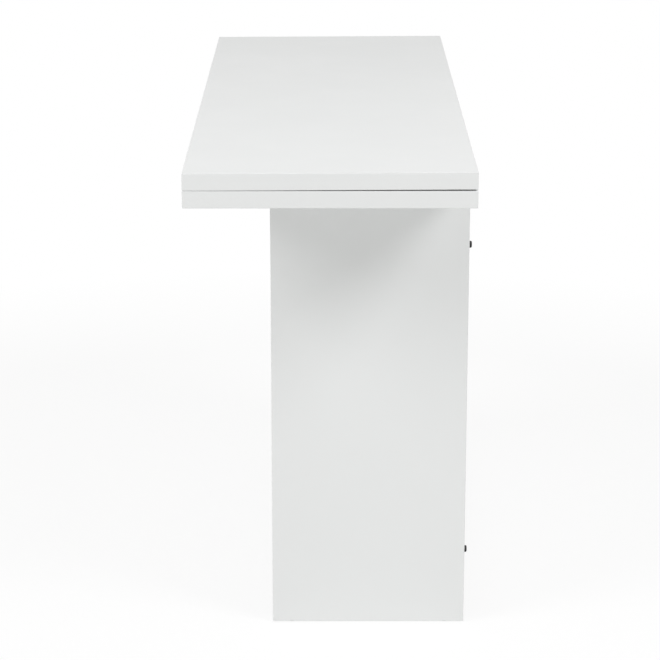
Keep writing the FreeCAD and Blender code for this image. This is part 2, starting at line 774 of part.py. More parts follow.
def panel_joints():
    """Every joint of the three cross panels, sorted by what it gives and what it cuts."""
    pieces = {"cam_locks": [], "cam_bolts": [], "dowels": []}
    cuts = {"carrier": [], "shelf": [], "back": [], "near": [], "far": []}
    shelf_top = "(shelf_height + shelf_thickness)"
    low_cam = f"({shelf_top} + cam_inset)"
    high_cam = f"({CARRIER_BOTTOM} - cam_inset - dowel_offset)"
    front_cam = f"({FRONT} + cam_inset)"
    shelf_cam = f"({INNER_BACK} - cam_inset - dowel_offset)"
    carrier_cam = f"({BACK} - cam_inset - dowel_offset)"
    places = (
        ("carrier", "carrier_thickness", front_cam, CARRIER_BOTTOM),
        ("carrier", "carrier_thickness", carrier_cam, CARRIER_BOTTOM),
        ("shelf", "shelf_thickness", front_cam, "shelf_height"),
        ("shelf", "shelf_thickness", shelf_cam, "shelf_height"),
        ("back", "back_thickness", BACK, low_cam),
        ("back", "back_thickness", BACK, high_cam),
    )
    for panel, thickness, x, z in places:
        for end, sign in (("near", "-"), ("far", "+")):
            upright = panel == "back"
            axes = (f"{sign}y", "-x", "+z") if upright else (f"{sign}y", "+z", "+x")
            seat = Seat((x, f"({sign}{INNER_END})", z), *axes)
            made, panel_cuts, end_cuts = panel_joint(seat, thickness)
            for name, piece in made.items():
                pieces[name].append(piece)
            cuts[panel] += panel_cuts
            cuts[end] += end_cuts
    return pieces, cuts


def banded_panel(name, low, size, axis, bands, cuts):
    """A panel with edge bands at its front, back or top edge. The front and back ones run along an
    axis, and the top one along X."""
    crosswise = FreeCAD.Vector(1, 0, 0)

    def wanted(edge):
        middle = edge.CenterOfMass
        if runs_along(edge, crosswise):
            return "top" in bands and middle.z > TOUCHING
        side = "front" if middle.x < TOUCHING else "back"
        return runs_along(edge, axis) and side in bands

    outline = rounded_block(low, size, "base_arris", wanted)
    front = low[0]
    back = f"({low[0]} + {size[0]})"
    height = size[2]
    if "top" in bands:
        height = f"({size[2]} - base_band)"
        slab = box((low[0], low[1], f"({low[2]} + {height})"), (size[0], size[1], "base_band"))
        node(f"{name}_top_band", common(outline, slab))
    if "front" in bands:
        slab = box((front, low[1], low[2]), ("base_band", size[1], height))
        node(f"{name}_front_band", common(outline, slab))
        front = f"({front} + base_band)"
    if "back" in bands:
        slab = box((f"({back} - base_band)", low[1], low[2]), ("base_band", size[1], height))
        node(f"{name}_back_band", common(outline, slab))
        back = f"({back} - base_band)"
    board = box((front, low[1], low[2]), (f"({back} - {front})", size[1], height))
    node(name, cut(board, cuts))


def end_places(inset):
    """Four places over or under the end panels, by name."""
    return {
        f"{end}_{side}": (x, f"({sign}{END_MIDDLE})")
        for end, sign in (("near", "-"), ("far", "+"))
        for side, x in (("front", f"({FRONT} + {inset})"), ("back", f"({BACK} - {inset})"))
    }


def make_base():
    pieces, cuts = panel_joints()
    for name, made in pieces.items():
        node(name, group(made))

    end_size = ("base_depth", "end_thickness", f"({BASE_TOP} - glide_height)")
    upright = FreeCAD.Vector(0, 0, 1)
    lengthwise = FreeCAD.Vector(0, 1, 0)
    nail_holes = {"near": [], "far": []}
    nails = []
    for name, (x, y) in end_places("glide_inset").items():
        end = name.split("_")[0]
        nail_start = "(glide_height - nail_head)"
        nail_radius = "(nail_radius + hole_clearance)"
        nails.append(cylinder((x, y, nail_start), "nail_radius", "(nail_head + nail_length)"))
        hole_length = "(nail_length + hole_clearance)"
        nail_holes[end].append(cylinder((x, y, "glide_height"), nail_radius, hole_length))
        foot = cone((x, y, 0), "glide_radius", "(glide_radius + glide_taper)", "glide_height")
        socket = cylinder((x, y, nail_start), nail_radius, "nail_head")
        node(f"{name}_glide", cut(foot, [socket]))
    node("glide_nails", group(nails))
    for end, y in (("near", f"-{END}"), ("far", INNER_END)):
        tools = [*cuts[end], *nail_holes[end]]
        low = (FRONT, y, "glide_height")
        bands = ("front", "back", "top")
        banded_panel(f"{end}_end_panel", low, end_size, upright, bands, tools)

    pin_x, pin_y = stop_pin_place()
    pin_hole = cylinder(
        (pin_x, pin_y, f"({BASE_TOP} - stop_pin_seat)"),
        "(stop_pin_radius + hole_clearance)",
        "stop_pin_seat",
    )
    bush_hole = cylinder(
        (PIVOT_X, PIVOT_Y, CARRIER_BOTTOM),
        "(bolt_radius + bush_wall + hole_clearance)",
        "carrier_thickness",
    )
    inner_length = f"(2 * {INNER_END})"
    banded_panel(
        "carrier_panel",
        (FRONT, f"-{INNER_END}", CARRIER_BOTTOM),
        ("base_depth", inner_length, "carrier_thickness"),
        lengthwise,
        ("front", "back"),
        [*cuts["carrier"], pin_hole, bush_hole],
    )
    banded_panel(
        "bottom_shelf",
        (FRONT, f"-{INNER_END}", "shelf_height"),
        ("(base_depth - back_thickness)", inner_length, "shelf_thickness"),
        lengthwise,
        ("front",),
        cuts["shelf"],
    )
    back = box(
        (INNER_BACK, f"-{INNER_END}", "shelf_height"),
        ("back_thickness", inner_length, f"({CARRIER_BOTTOM} - shelf_height)"),
    )
    node("back_panel", cut(back, cuts["back"]))


def make_pads():
    places = list(end_places("pad_inset").values())
    places.append((f"({FRONT} + pad_inset)", "0"))
    places.append((f"({BACK} - pad_inset)", f"({INNER_END} / 2)"))
    pads = [cylinder((x, y, BASE_TOP), "pad_radius", PAD_HEIGHT) for x, y in places]
    node("slide_pads", group(pads))


def make_bumpers():
    heights = {"upper": f"({LEAF_BOTTOM} - upper_bumper_drop)", "lower": "lower_bumper_height"}
    for end, sign in (("near", "-"), ("far", "+")):
        for level, z in heights.items():
            body = doc.addObject("PartDesign::Body", "bumper")
            dome = body.newObject("PartDesign::AdditiveCylinder", "dome")
            bind(dome, Radius="bumper_radius", Height="bumper_height")
            round_edges(
                dome,
                body,
                "bumper_rounding",
                lambda edge: edge.Closed and edge.CenterOfMass.z > TOUCHING,
            )
            place(body, (BACK, f"({sign}{END_MIDDLE})", z), X_UP)
            node(f"{end}_{level}_wall_bumper", body)


def write_parts():
    """Check every object and every node, and write each node to its own file."""
    doc.recompute()
    for thing in doc.Objects:
        if "Invalid" in thing.State or "Error" in thing.State:
            raise RuntimeError(f"{thing.Name} ({thing.Label}) failed: {thing.State}")
    for thing in nodes:
        if thing.Shape.isNull() or not thing.Shape.isValid():
            raise RuntimeError(f"{thing.Label} has no valid shape")
    os.makedirs("parts", exist_ok=True)
    for thing in nodes:
        thing.Shape.exportStep(os.path.join("parts", f"{thing.Label}.step"))


fill_sheet()
make_lower_leaf()
make_upper_leaf()
make_hinge_pins()
make_swivel()
make_stop_pin()
make_base()
make_pads()
make_bumpers()
write_parts()
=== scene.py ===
"""The looks of a swivel extending table: white faced boards, edge bands and plain hardware.

The construction comes from the packed frame, and nothing here moves or resizes it. Each operator
finishes one piece or one group of like pieces, and the last one lights the table. Lengths are in
metres. +X is the table's back, +Y runs along the folded top, and +Z is up.
"""

import json
import math

import bmesh
import bpy
from bpy.props import FloatProperty, FloatVectorProperty, IntProperty, PointerProperty
from mathutils import Euler, Matrix, Vector, noise


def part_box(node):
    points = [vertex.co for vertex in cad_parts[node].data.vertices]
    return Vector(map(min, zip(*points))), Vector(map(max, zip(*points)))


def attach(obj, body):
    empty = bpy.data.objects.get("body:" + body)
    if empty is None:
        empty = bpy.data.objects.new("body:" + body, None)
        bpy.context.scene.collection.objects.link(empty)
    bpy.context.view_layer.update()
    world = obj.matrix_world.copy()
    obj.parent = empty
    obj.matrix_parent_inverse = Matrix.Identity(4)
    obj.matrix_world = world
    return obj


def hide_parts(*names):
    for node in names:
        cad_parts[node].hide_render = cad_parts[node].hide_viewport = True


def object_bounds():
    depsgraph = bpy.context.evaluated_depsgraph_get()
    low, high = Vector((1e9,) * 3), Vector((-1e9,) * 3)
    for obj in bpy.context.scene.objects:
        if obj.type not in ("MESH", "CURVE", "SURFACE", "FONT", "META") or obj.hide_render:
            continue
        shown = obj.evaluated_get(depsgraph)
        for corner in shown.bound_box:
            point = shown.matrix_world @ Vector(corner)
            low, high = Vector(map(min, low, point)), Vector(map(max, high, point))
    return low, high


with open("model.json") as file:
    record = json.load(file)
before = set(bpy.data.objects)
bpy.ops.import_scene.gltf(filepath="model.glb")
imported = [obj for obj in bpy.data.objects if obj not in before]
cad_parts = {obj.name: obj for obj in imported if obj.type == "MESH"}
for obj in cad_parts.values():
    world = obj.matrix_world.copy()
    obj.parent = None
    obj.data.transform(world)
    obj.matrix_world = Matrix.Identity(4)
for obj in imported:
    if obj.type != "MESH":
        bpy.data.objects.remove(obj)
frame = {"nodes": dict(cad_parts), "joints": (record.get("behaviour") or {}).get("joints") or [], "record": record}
CAD_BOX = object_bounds()

bl_info = {
    "name": "Swivel extending table",
    "version": (1, 0, 0),
    "blender": (4, 5, 0),
    "location": "3D View > Sidebar > Table",
    "description": "Finishes every piece of a swivel extending table and lights it",
    "category": "Object",
}

MM = 0.001
WELD = 0.001 * MM  # points closer than this are one point
SMOOTH_ANGLE = math.radians(35)  # edges sharper than this stay sharp
QUARTER = math.pi / 2
CORNER_STEPS = 4  # edges in a plate's rounded corner
RECESS_FLOOR = (0.5, 0.72, 0.85)  # a cross recess's floor: reach, arm and depth in the mouth's


# --- what a user would change ----------------------------------------------------------------


def colour(name, description, default):
    return FloatVectorProperty(
        name=name, description=description, subtype="COLOR", size=3, min=0, max=1, default=default
    )


def length(name, description, metres):
    return FloatProperty(
        name=name, description=description, subtype="DISTANCE", unit="LENGTH", default=metres
    )


def mm(name, description, millimetres):
    return length(name, description, millimetres * MM)


def degrees(name, description, value):
    return FloatProperty(
        name=name, description=description, subtype="ANGLE", default=math.radians(value)
    )


def power(name, description, watts):
    return FloatProperty(name=name, description=description, subtype="POWER", default=watts)


def share(name, description, default):
    return FloatProperty(name=name, description=description, min=0, max=1, default=default)


def count(name, description, default):
    return IntProperty(name=name, description=description, min=1, default=default)


class TABLE_PG_boards(bpy.types.PropertyGroup):
    """Faces and edges of the boards"""

    face_colour: colour("Face", "Melamine face of every board", (0.83, 0.84, 0.838))
    band_colour: colour("Edge band", "Plastic edge band", (0.83, 0.84, 0.838))
    chip_light: colour("Light chips", "Bare board edge, light chips", (0.52, 0.39, 0.25))
    chip_dark: colour("Dark chips", "Bare board edge, dark chips", (0.27, 0.18, 0.105))
    face_roughness: share("Face roughness", "Roughness of the melamine", 0.42)
    band_roughness: share("Band roughness", "Roughness of the edge band", 0.38)
    chip_roughness: share("Chip roughness", "Roughness of the bare chips", 0.9)
    pearl_size: mm("Pearl size", "Size of the melamine's fine pearls", 1.1)
    pearl_depth: mm("Pearl depth", "Height of the melamine's fine pearls", 0.018)
    chip_depth: mm("Chip depth", "Depth of the gaps between chips", 0.216)
    seam_width: mm("Seam width", "Glue line between a face and a band", 0.12)


class TABLE_PG_hardware(bpy.types.PropertyGroup):
    """Metal, plastic, rubber, felt and wood of the fittings"""

    nickel: colour("Nickel", "Plated steel of the hinges", (0.64, 0.62, 0.58))
    zinc: colour("Zinc", "Plated steel of bolts and screws", (0.6, 0.62, 0.65))
    cast_zinc: colour("Cast zinc", "Cam locks", (0.42, 0.43, 0.45))
    nylon: colour("Nylon", "Bush, disc and glides", (0.78, 0.77, 0.72))
    rubber: colour("Rubber", "Wall bumpers", (0.012, 0.012, 0.013))
    felt: colour("Felt", "Slide pads", (0.36, 0.36, 0.355))
    beech: colour("Beech", "Dowels", (0.55, 0.37, 0.21))
    edge_softening: mm("Edge softening", "Rounding of the hardware's edges", 0.18)
    bolt_radius: mm("Bolt", "Radius of the pivot bolt", 5)
    bolt_pitch: mm("Bolt pitch", "Thread pitch of the pivot bolt", 1.5)
    bolt_thread: mm("Bolt thread", "Depth of the pivot bolt's thread", 0.8)
    bolt_play: mm("Bolt play", "Round the bolt in its plate, washers and nut", 0.15)
    hexagon: mm("Hexagon", "Height of the pivot nut's hexagon", 8)
    nut_insert: mm("Nut insert", "Width of the pivot nut's nylon ring", 1.3)
    spring_thickness: mm("Spring washer", "Thickness of the spring washer", 1.2)
    bush_play: mm("Bush play", "Round the bolt in its bush", 0.05)
    bush_wall: mm("Bush wall", "Wall of the pivot bush", 2.5)
    washer_gap: mm("Washer gap", "Between the bush and the thrust washer", 0.02)
    disc_play: mm("Disc play", "Round the bolt in the slide disc", 0.4)
    cam_radius: mm("Cam lock", "Radius of a cam lock", 7.5)
    cam_reach: mm("Cam reach", "A cam lock's body beyond its bolt's middle", 5)
    cam_slot_reach: mm("Cam slot", "Cam lock's cross, from its middle to an arm's end", 4.5)
    cam_slot_arm: mm("Cam slot arm", "Half the width of the cross's arm", 0.8)
    cam_slot_depth: mm("Cam slot depth", "Depth of a cam lock's cross", 2)
    cam_rim: mm("Cam rim", "Width of the rim round a cam lock's face", 0.7)
    cam_dish: mm("Cam dish", "Depth of a cam lock's face inside its rim", 0.35)
    cam_bolt_radius: mm("Cam bolt", "Radius of a cam bolt", 2.5)
    cam_bolt_head: mm("Cam bolt head", "Radius of a cam bolt's head", 3.5)
    cam_bolt_head_length: mm("Cam bolt head length", "Length of the head", 3)
    cam_bolt_play: mm("Cam bolt play", "Round a cam bolt in its lock", 0.3)
    cam_bolt_pitch: mm("Cam bolt pitch", "Thread pitch of a cam bolt", 1.8)
    cam_bolt_thread: mm("Cam bolt thread", "Threaded end in the end panel", 11)
    dowel_flutes: count("Dowel flutes", "Grooves round a dowel", 24)
    flute_depth: mm("Flute depth", "Depth of a dowel's grooves", 0.25)
    glide_taper: mm("Glide taper", "A glide is this much narrower at the floor", 1)
    nail_radius: mm("Nail", "Radius of a glide's nail", 1)
    nail_head: mm("Nail head", "Height of the nail's head in the glide", 0.8)
    nail_play: mm("Nail play", "Round a nail in its hole", 0.1)
    bumper_radius: mm("Bumper", "Radius of a wall bumper", 5.5)
    felt_fray: mm("Felt fray", "Unevenness of a slide pad's cut edge", 0.22)
    felt_tuft: mm("Felt tuft", "Size of the felt's tufts", 0.35)


class TABLE_PG_hinges(bpy.types.PropertyGroup):
    """Hinges and countersunk screws"""

    plate: mm("Plate", "Thickness of a hinge's plate", 2)
    corner: mm("Corner", "Rounding of a plate's corners", 2)
    knuckles: count("Knuckles", "Knuckles of a hinge", 5)
    knuckle_gap: mm("Knuckle gap", "Between two knuckles", 0.3)
    pin_play: mm("Pin play", "Round the pin in its knuckles", 0.05)
    seam: mm("Seam", "Between a knuckle's rolled end and its plate", 0.12)
    screw_head: mm("Screw head", "Radius of a countersunk head", 3.5)
    screw_land: mm("Screw land", "Upright edge of a countersunk head", 0.12)
    screw_cone: mm("Screw cone", "Height of a countersunk head", 1.75)
    screw_shank: mm("Screw shank", "Radius of a screw over its thread", 1.75)
    screw_core: mm("Screw core", "Radius of a screw inside its thread", 1.15)
    screw_pitch: mm("Screw pitch", "Thread pitch of a wood screw", 1.6)
    screw_point: mm("Screw point", "Length of a screw's point", 3.5)
    recess_reach: mm("Recess reach", "Cross recess, from its middle to an arm's end", 2)
    recess_arm: mm("Recess arm", "Half the width of a cross recess's arm", 0.45)
    recess_depth: mm("Recess depth", "Depth of a cross recess", 1.3)
    fit: mm("Fit", "Round a screw in its hole", 0.1)


class TABLE_PG_stage(bpy.types.PropertyGroup):
    """Camera, lamps and floor"""

    camera_place: FloatVectorProperty(
        name="Camera", description="Camera's place", subtype="XYZ", default=(-0.00205, -3.8531, 1.4835)
    )
    camera_pitch: degrees("Pitch", "Camera below level", 16.28)
    camera_yaw: degrees("Yaw", "Camera to the right", 0.034)
    focal_length: FloatProperty(
        name="Focal length", description="Lens in millimetres", default=128.585
    )
    left_distance: length("Left distance", "Left softbox from the near end of the top", 5)
    left_size: length("Left size", "Side of the left softbox", 2.4)
    left_azimuth: degrees("Left azimuth", "Left softbox, left of straight ahead", 65)
    left_height: degrees("Left height", "Left softbox, above level", 35)
    left_power: power("Left power", "Left softbox, in watts", 131)
    right_distance: length("Right distance", "Right softbox from the near end of the top", 4)
    right_size: length("Right size", "Side of the right softbox", 1.5)
    right_azimuth: degrees("Right azimuth", "Right softbox, right of straight ahead", 60)
    right_height: degrees("Right height", "Right softbox, above level", 41)
    right_power: power("Right power", "Right softbox, in watts", 75)
    lamp_colour: colour("Lamp colour", "Light of the softboxes", (0.99, 0.99, 1.0))
    sky_level: share("Sky", "Light from all round", 0.4)
    sky_colour: colour("Sky colour", "Light from all round", (1.0, 1.0, 0.975))
    floor_colour: colour("Floor", "Pale floor", (0.9, 0.9, 0.895))
    floor_size: length("Floor size", "Side of the floor", 14)
    floor_glow: share("Floor glow", "How much of the floor's own shadow is lost", 0.87)
    shadow_reach: length("Shadow reach", "How far out the floor shows a shadow", 1.1)
    shadow_end: length("Shadow end", "How far out the last of the shadow is lost", 1.76)


def boards():
    return bpy.context.scene.table_boards


def hardware():
    return bpy.context.scene.table_hardware


def hinges():
    return bpy.context.scene.table_hinges


# --- shader node helpers -----------------------------------------------------------------------


def put(tree, kind, values=None, **settings):
    """Add a shader node, change its settings, and set or link its inputs."""
    node = tree.nodes.new(f"ShaderNode{kind}")
    for name, value in settings.items():
        setattr(node, name, value)
    for key, value in (values or {}).items():
        if isinstance(value, bpy.types.NodeSocket):
            tree.links.new(value, node.inputs[key])
        else:
            node.inputs[key].default_value = value
    return node


def link(tree, sockets, values):
    """Link each value to the socket of its name."""
    for name, value in values.items():
        tree.links.new(value, sockets[name])


def calc(tree, operation, first, second=0.0):
    return put(tree, "Math", {0: first, 1: second}, operation=operation).outputs[0]


def vector_calc(tree, operation, first, second=(0.0, 0.0, 0.0)):
    return put(tree, "VectorMath", {0: first, 1: second}, operation=operation).outputs


def spread(tree, value, low, high, new_low=0.0, new_high=1.0):
    """Map a value's range onto another, clamped."""
    ends = {"From Min": low, "From Max": high, "To Min": new_low, "To Max": new_high}
    return put(tree, "MapRange", {"Value": value, **ends}).outputs["Result"]


def mix_floats(tree, factor, first, second):
    return put(tree, "Mix", {0: factor, 2: first, 3: second}).outputs[0]


def mix_colours(tree, factor, first, second):
    return put(tree, "Mix", {0: factor, 6: first, 7: second}, data_type="RGBA").outputs[2]


def clouds(tree, where, scale, detail, roughness=0.5, distortion=0.0):
    values = {"Vector": where, "Scale": scale, "Detail": detail, "Roughness": roughness}
    return put(tree, "TexNoise", {**values, "Distortion": distortion}).outputs


def cells(tree, where, scale, feature="F1", values=None):
    values = {"Vector": where, "Scale": scale, **(values or {})}
    return put(tree, "TexVoronoi", values, feature=feature).outputs


def tone(tint, factor=1.0, lift=0.0):
    """A colour made lighter or darker, as a socket takes it."""
    return (*(min(1.0, part * factor + lift) for part in tint), 1.0)


# --- effects that several materials share ------------------------------------------------------


def pearl_face(tree, given):
    """Fine rounded pearls of a pressed melamine or plastic face, with a faint tone drift."""
    where = given["Vector"]
    per_metre = calc(tree, "DIVIDE", 1.0, given["Pearl Size"])
    pearls = cells(tree, where, per_metre, "SMOOTH_F1", {"Smoothness": 0.8})
    ripple = clouds(tree, where, scale=55.0, detail=3.0, roughness=0.55)["Fac"]
    rub = clouds(tree, where, scale=11.0, detail=6.0, roughness=0.68)["Fac"]
    domes = spread(tree, pearls["Distance"], 0.0, 0.9, new_low=1.0, new_high=0.0)
    return {
        "Height": calc(tree, "ADD", domes, calc(tree, "MULTIPLY", ripple, 0.6)),
        "Drift": clouds(tree, where, scale=3.2, detail=4.0)["Fac"],
        "Rub": spread(tree, rub, low=0.42, high=0.72),
    }


def pressed_chips(tree, given):
    """The bare edge of a chipboard: pressed chips in two tones, fine outside and coarse inside."""
    warp = clouds(tree, given["Vector"], scale=180.0, detail=2.0)["Color"]
    flatness = 2.2
    glue_gap = 0.12
    glue = (0.09, 0.06, 0.035, 1.0)
    tones = []
    gaps = []
    for per_metre in (950.0, 330.0):
        stretch = (per_metre, per_metre, per_metre * flatness)
        stretched = vector_calc(tree, "MULTIPLY", given["Vector"], stretch)["Vector"]
        bent = vector_calc(tree, "ADD", stretched, warp)["Vector"]
        chips = put(tree, "SeparateColor", {"Color": cells(tree, bent, scale=1.0)["Color"]})
        edges = cells(tree, bent, 1.0, "DISTANCE_TO_EDGE")["Distance"]
        tones.append(chips.outputs["Red"])
        gaps.append(spread(tree, edges, 0.0, glue_gap))
    chip = mix_floats(tree, given["Core"], *tones)
    closed = mix_floats(tree, given["Core"], *gaps)
    wood = mix_colours(tree, chip, given["Dark"], given["Light"])
    return {"Color": mix_colours(tree, closed, glue, wood), "Height": closed}


def board_faces(tree, given):
    """Which part of a board a point is on: a pressed face, its seam to the bands, or the core."""
    offset = vector_calc(tree, "SUBTRACT", given["Vector"], given["Middle"])["Vector"]
    reaches = put(tree, "SeparateXYZ", {"Vector": given["Half Size"]}).outputs
    inside = []
    for direction, reach in zip(("Along", "Across", "Normal"), reaches):
        run = vector_calc(tree, "DOT_PRODUCT", offset, given[direction])["Value"]
        inside.append(calc(tree, "SUBTRACT", reach, calc(tree, "ABSOLUTE", run)))
    to_end, to_side, to_face = inside
    face = calc(tree, "LESS_THAN", to_face, 0.02 * MM)
    seam = spread(tree, calc(tree, "MINIMUM", to_end, to_side), given["Seam Width"], 0.0)
    depth = calc(tree, "DIVIDE", to_face, reaches["Z"])
    return {
        "Face": face,
        "Seam": calc(tree, "MULTIPLY", seam, face),
        "Core": spread(tree, depth, low=0.3, high=0.42),
    }


def drawn_lines(tree, given):
    """Fine lines along one direction, as rolled, turned or brushed metal has."""
    stretched = vector_calc(tree, "MULTIPLY", given["Vector"], given["Stretch"])["Vector"]
    return {
        "Height": clouds(tree, stretched, scale=1.0, detail=4.0, roughness=0.6)["Fac"],
        "Tone": clouds(tree, given["Vector"], scale=160.0, detail=3.0)["Fac"],
    }


def rubbed_and_highlit_edge(tree, given):
    """Where a corner is rubbed, and where its edge gets a painted highlight: a mask from how far the rounded
    normal turns from the true one.
    """
    rounded = put(tree, "Bevel", {"Radius": 0.4 * MM}, samples=4).outputs["Normal"]
    straight = put(tree, "NewGeometry").outputs["Normal"]
    turn = vector_calc(tree, "DOT_PRODUCT", rounded, straight)["Value"]
    near_edge = spread(tree, turn, low=1.0, high=0.8)
    grain = clouds(tree, given["Vector"], scale=900.0, detail=3.0)["Fac"]
    return {"Mask": calc(tree, "MULTIPLY", near_edge, spread(tree, grain, low=0.35, high=0.6))}


EFFECTS = {
    "Pearl face": (pearl_face, {"Pearl Size": 0.001}),
    "Pressed chips": (
        pressed_chips,
        {"Core": 1.0, "Light": (0.5, 0.4, 0.25, 1.0), "Dark": (0.3, 0.2, 0.1, 1.0)},
    ),
    "Board faces": (
        board_faces,
        {
            "Middle": (0.0, 0.0, 0.0),
            "Along": (0.0, 1.0, 0.0),
            "Across": (1.0, 0.0, 0.0),
            "Normal": (0.0, 0.0, 1.0),
            "Half Size": (1.0, 1.0, 1.0),
            "Seam Width": 0.1 * MM,
        },
    ),
    "Drawn lines": (drawn_lines, {"Stretch": (200.0, 4000.0, 4000.0)}),
    "Rubbed edge": (rubbed_and_highlit_edge, {}),
}


def build_effect(name):
    """An effect's node group. A number is a float input, three are a vector, four a colour."""
    fill, inputs = EFFECTS[name]
    tree = bpy.data.node_groups.new(name, "ShaderNodeTree")
    for label, default in {"Vector": (0.0, 0.0, 0.0), **inputs}.items():
        kind = {3: "Vector", 4: "Color"}[len(default)] if isinstance(default, tuple) else "Float"
        socket = tree.interface.new_socket(label, in_out="INPUT", socket_type=f"NodeSocket{kind}")
        socket.default_value = default
    made = fill(tree, tree.nodes.new("NodeGroupInput").outputs)
    for label, value in made.items():
        kind = "Color" if value.type == "RGBA" else "Float"
        tree.interface.new_socket(label, in_out="OUTPUT", socket_type=f"NodeSocket{kind}")
    link(tree, tree.nodes.new("NodeGroupOutput").inputs, made)
    return tree


def use(tree, effect, where, values=None):
    """Add an effect's shared group, built the first time it is asked for. Gives its outputs."""
    group = bpy.data.node_groups.get(effect) or build_effect(effect)
    return put(tree, "Group", {"Vector": where, **(values or {})}, node_tree=group).outputs


# --- materials ---------------------------------------------------------------------------------


def start_material(name):
    """A new material. Gives it, its tree and shader, and the place on the piece."""
    material = bpy.data.materials.new(name)
    material.use_nodes = True
    tree = material.node_tree
    where = put(tree, "TexCoord").outputs["Object"]
    return material, tree, tree.nodes["Principled BSDF"], where


def dress(tree, shader, tint, roughness, height, depth):
    """Feed a shader its colour, its roughness and its relief."""
    normal = put(tree, "Bump", {"Height": height, "Distance": depth}).outputs["Normal"]
    link(tree, shader.inputs, {"Base Color": tint, "Roughness": roughness, "Normal": normal})


def board_frame(name):
    """A board's middle, its directions along, across and through it, and its half sizes."""
    mesh = cad(name).data
    normal = max(mesh.polygons, key=lambda face: face.area).normal.copy()
    upright = abs(normal.y) > abs(normal.z)
    along = Vector((0.0, 0.0, 1.0)) if upright else Vector((0.0, 1.0, 0.0))
    directions = {"Along": along, "Across": along.cross(normal).normalized(), "Normal": normal}
    middle = Vector()
    halves = []
    for direction in directions.values():
        reaches = [point.co.dot(direction) for point in mesh.vertices]
        middle += direction * (min(reaches) + max(reaches)) / 2
        halves.append((max(reaches) - min(reaches)) / 2)
    return {"Middle": middle, **directions, "Half Size": halves}


def board_material(name):
    """Melamine on a board's two faces, and bare chipboard in its holes and on its other sides."""
    given = boards()
    plain = given.face_colour
    rough = given.face_roughness
    material, tree, shader, where = start_material(f"{name}_melamine")
    part = use(tree, "Board faces", where, {**board_frame(name), "Seam Width": given.seam_width})
    pearl = use(tree, "Pearl face", where, {"Pearl Size": given.pearl_size})
    tints = {"Light": tone(given.chip_light), "Dark": tone(given.chip_dark)}
    chips = use(tree, "Pressed chips", where, {"Core": part["Core"], **tints})
    face = mix_colours(tree, pearl["Drift"], tone(plain, 0.985), tone(plain, 1.012))
    lined = mix_colours(tree, part["Seam"], face, tone(plain, 0.72))
    face_rough = spread(tree, pearl["Rub"], 0.0, 1.0, rough + 0.05, rough - 0.05)
    pressed = calc(tree, "SUBTRACT", pearl["Height"], part["Seam"])
    relief = calc(tree, "MULTIPLY", chips["Height"], given.chip_depth / given.pearl_depth)
    dress(
        tree,
        shader,
        mix_colours(tree, part["Face"], chips["Color"], lined),
        mix_floats(tree, part["Face"], given.chip_roughness, face_rough),
        mix_floats(tree, part["Face"], relief, pressed),
        given.pearl_depth,
    )
    return material


def band_material():
    """Extruded plastic edge band: the boards' white, smoother, with faint scraper lines."""
    given = boards()
    plain = given.band_colour
    rough = given.band_roughness
    material, tree, shader, where = start_material("edge_band")
    pearl = use(tree, "Pearl face", where, {"Pearl Size": given.pearl_size * 0.7})
    lines = use(tree, "Drawn lines", where, {"Stretch": (60.0, 60.0, 2600.0)})
    tint = mix_colours(tree, pearl["Drift"], tone(plain, 0.985), tone(plain, 1.01))
    pearls = calc(tree, "MULTIPLY", pearl["Height"], 0.5)
    scraped = calc(tree, "MULTIPLY", lines["Height"], 0.35)
    roughness = spread(tree, lines["Tone"], 0.3, 0.7, rough - 0.04, rough + 0.06)
    height = calc(tree, "ADD", pearls, scraped)
    dress(tree, shader, tint, roughness, height, given.pearl_depth * 0.8)
    return material


def metal_material(name, tint, rough, stretch, wear_and_highlight):
    """Plated or cast metal with drawn lines, a cloudy tone and lighter edges: partly rubbed wear, partly a painted
    highlight.
    """
    material, tree, shader, where = start_material(name)
    lines = use(tree, "Drawn lines", where, {"Stretch": stretch})
    # The edges' colour is painted lighter: partly rubbed wear, partly a painted highlight.
    worn_and_highlit = calc(tree, "MULTIPLY", use(tree, "Rubbed edge", where)["Mask"], wear_and_highlight)
    cloudy = mix_colours(tree, lines["Tone"], tone(tint, 0.82), tone(tint))
    bright = mix_colours(tree, worn_and_highlit, cloudy, tone(tint, 1.3))
    roughness = spread(tree, lines["Height"], 0.3, 0.7, rough - 0.08, rough + 0.1)
    dress(tree, shader, bright, roughness, lines["Height"], 0.012 * MM)
    shader.inputs["Metallic"].default_value = 1.0
    return material


def moulded_material(name, tint, rough, grain, grain_depth):
    """Moulded plastic or rubber with a fine spark-eroded grain and lighter edges: partly dust, partly a painted
    highlight.
    """
    material, tree, shader, where = start_material(name)
    pearl = use(tree, "Pearl face", where, {"Pearl Size": grain})
    # The edges' colour is painted lighter: partly dust, partly a painted highlight.
    dust_and_highlight = calc(tree, "MULTIPLY", use(tree, "Rubbed edge", where)["Mask"], 0.6)
    drifting = mix_colours(tree, pearl["Drift"], tone(tint, 0.9), tone(tint))
    dusty_and_highlit = mix_colours(tree, dust_and_highlight, drifting, tone(tint, 1.12, lift=0.012))
    roughness = spread(tree, pearl["Rub"], 0.0, 1.0, rough + 0.08, rough - 0.06)
    dress(tree, shader, dusty_and_highlit, roughness, pearl["Height"], grain_depth)
    return material


def felt_material():
    """Pressed grey felt: tangled fibres, two tones and a soft sheen."""
    tint = hardware().felt
    material, tree, shader, where = start_material("pressed_felt")
    fibres = clouds(tree, where, scale=1400.0, detail=6.0, distortion=1.6)["Fac"]
    tufts = cells(tree, where, scale=700.0)["Distance"]
    tangle = spread(tree, fibres, low=0.35, high=0.65)
    grey = mix_colours(tree, tangle, tone(tint, 0.6), tone(tint, 1.25))
    roughness = spread(tree, tufts, 0.0, 1.0, 0.86, 1.0)
    dress(tree, shader, grey, roughness, calc(tree, "ADD", fibres, tufts), 0.25 * MM)
    shader.inputs["Sheen Weight"].default_value = 0.35
    return material


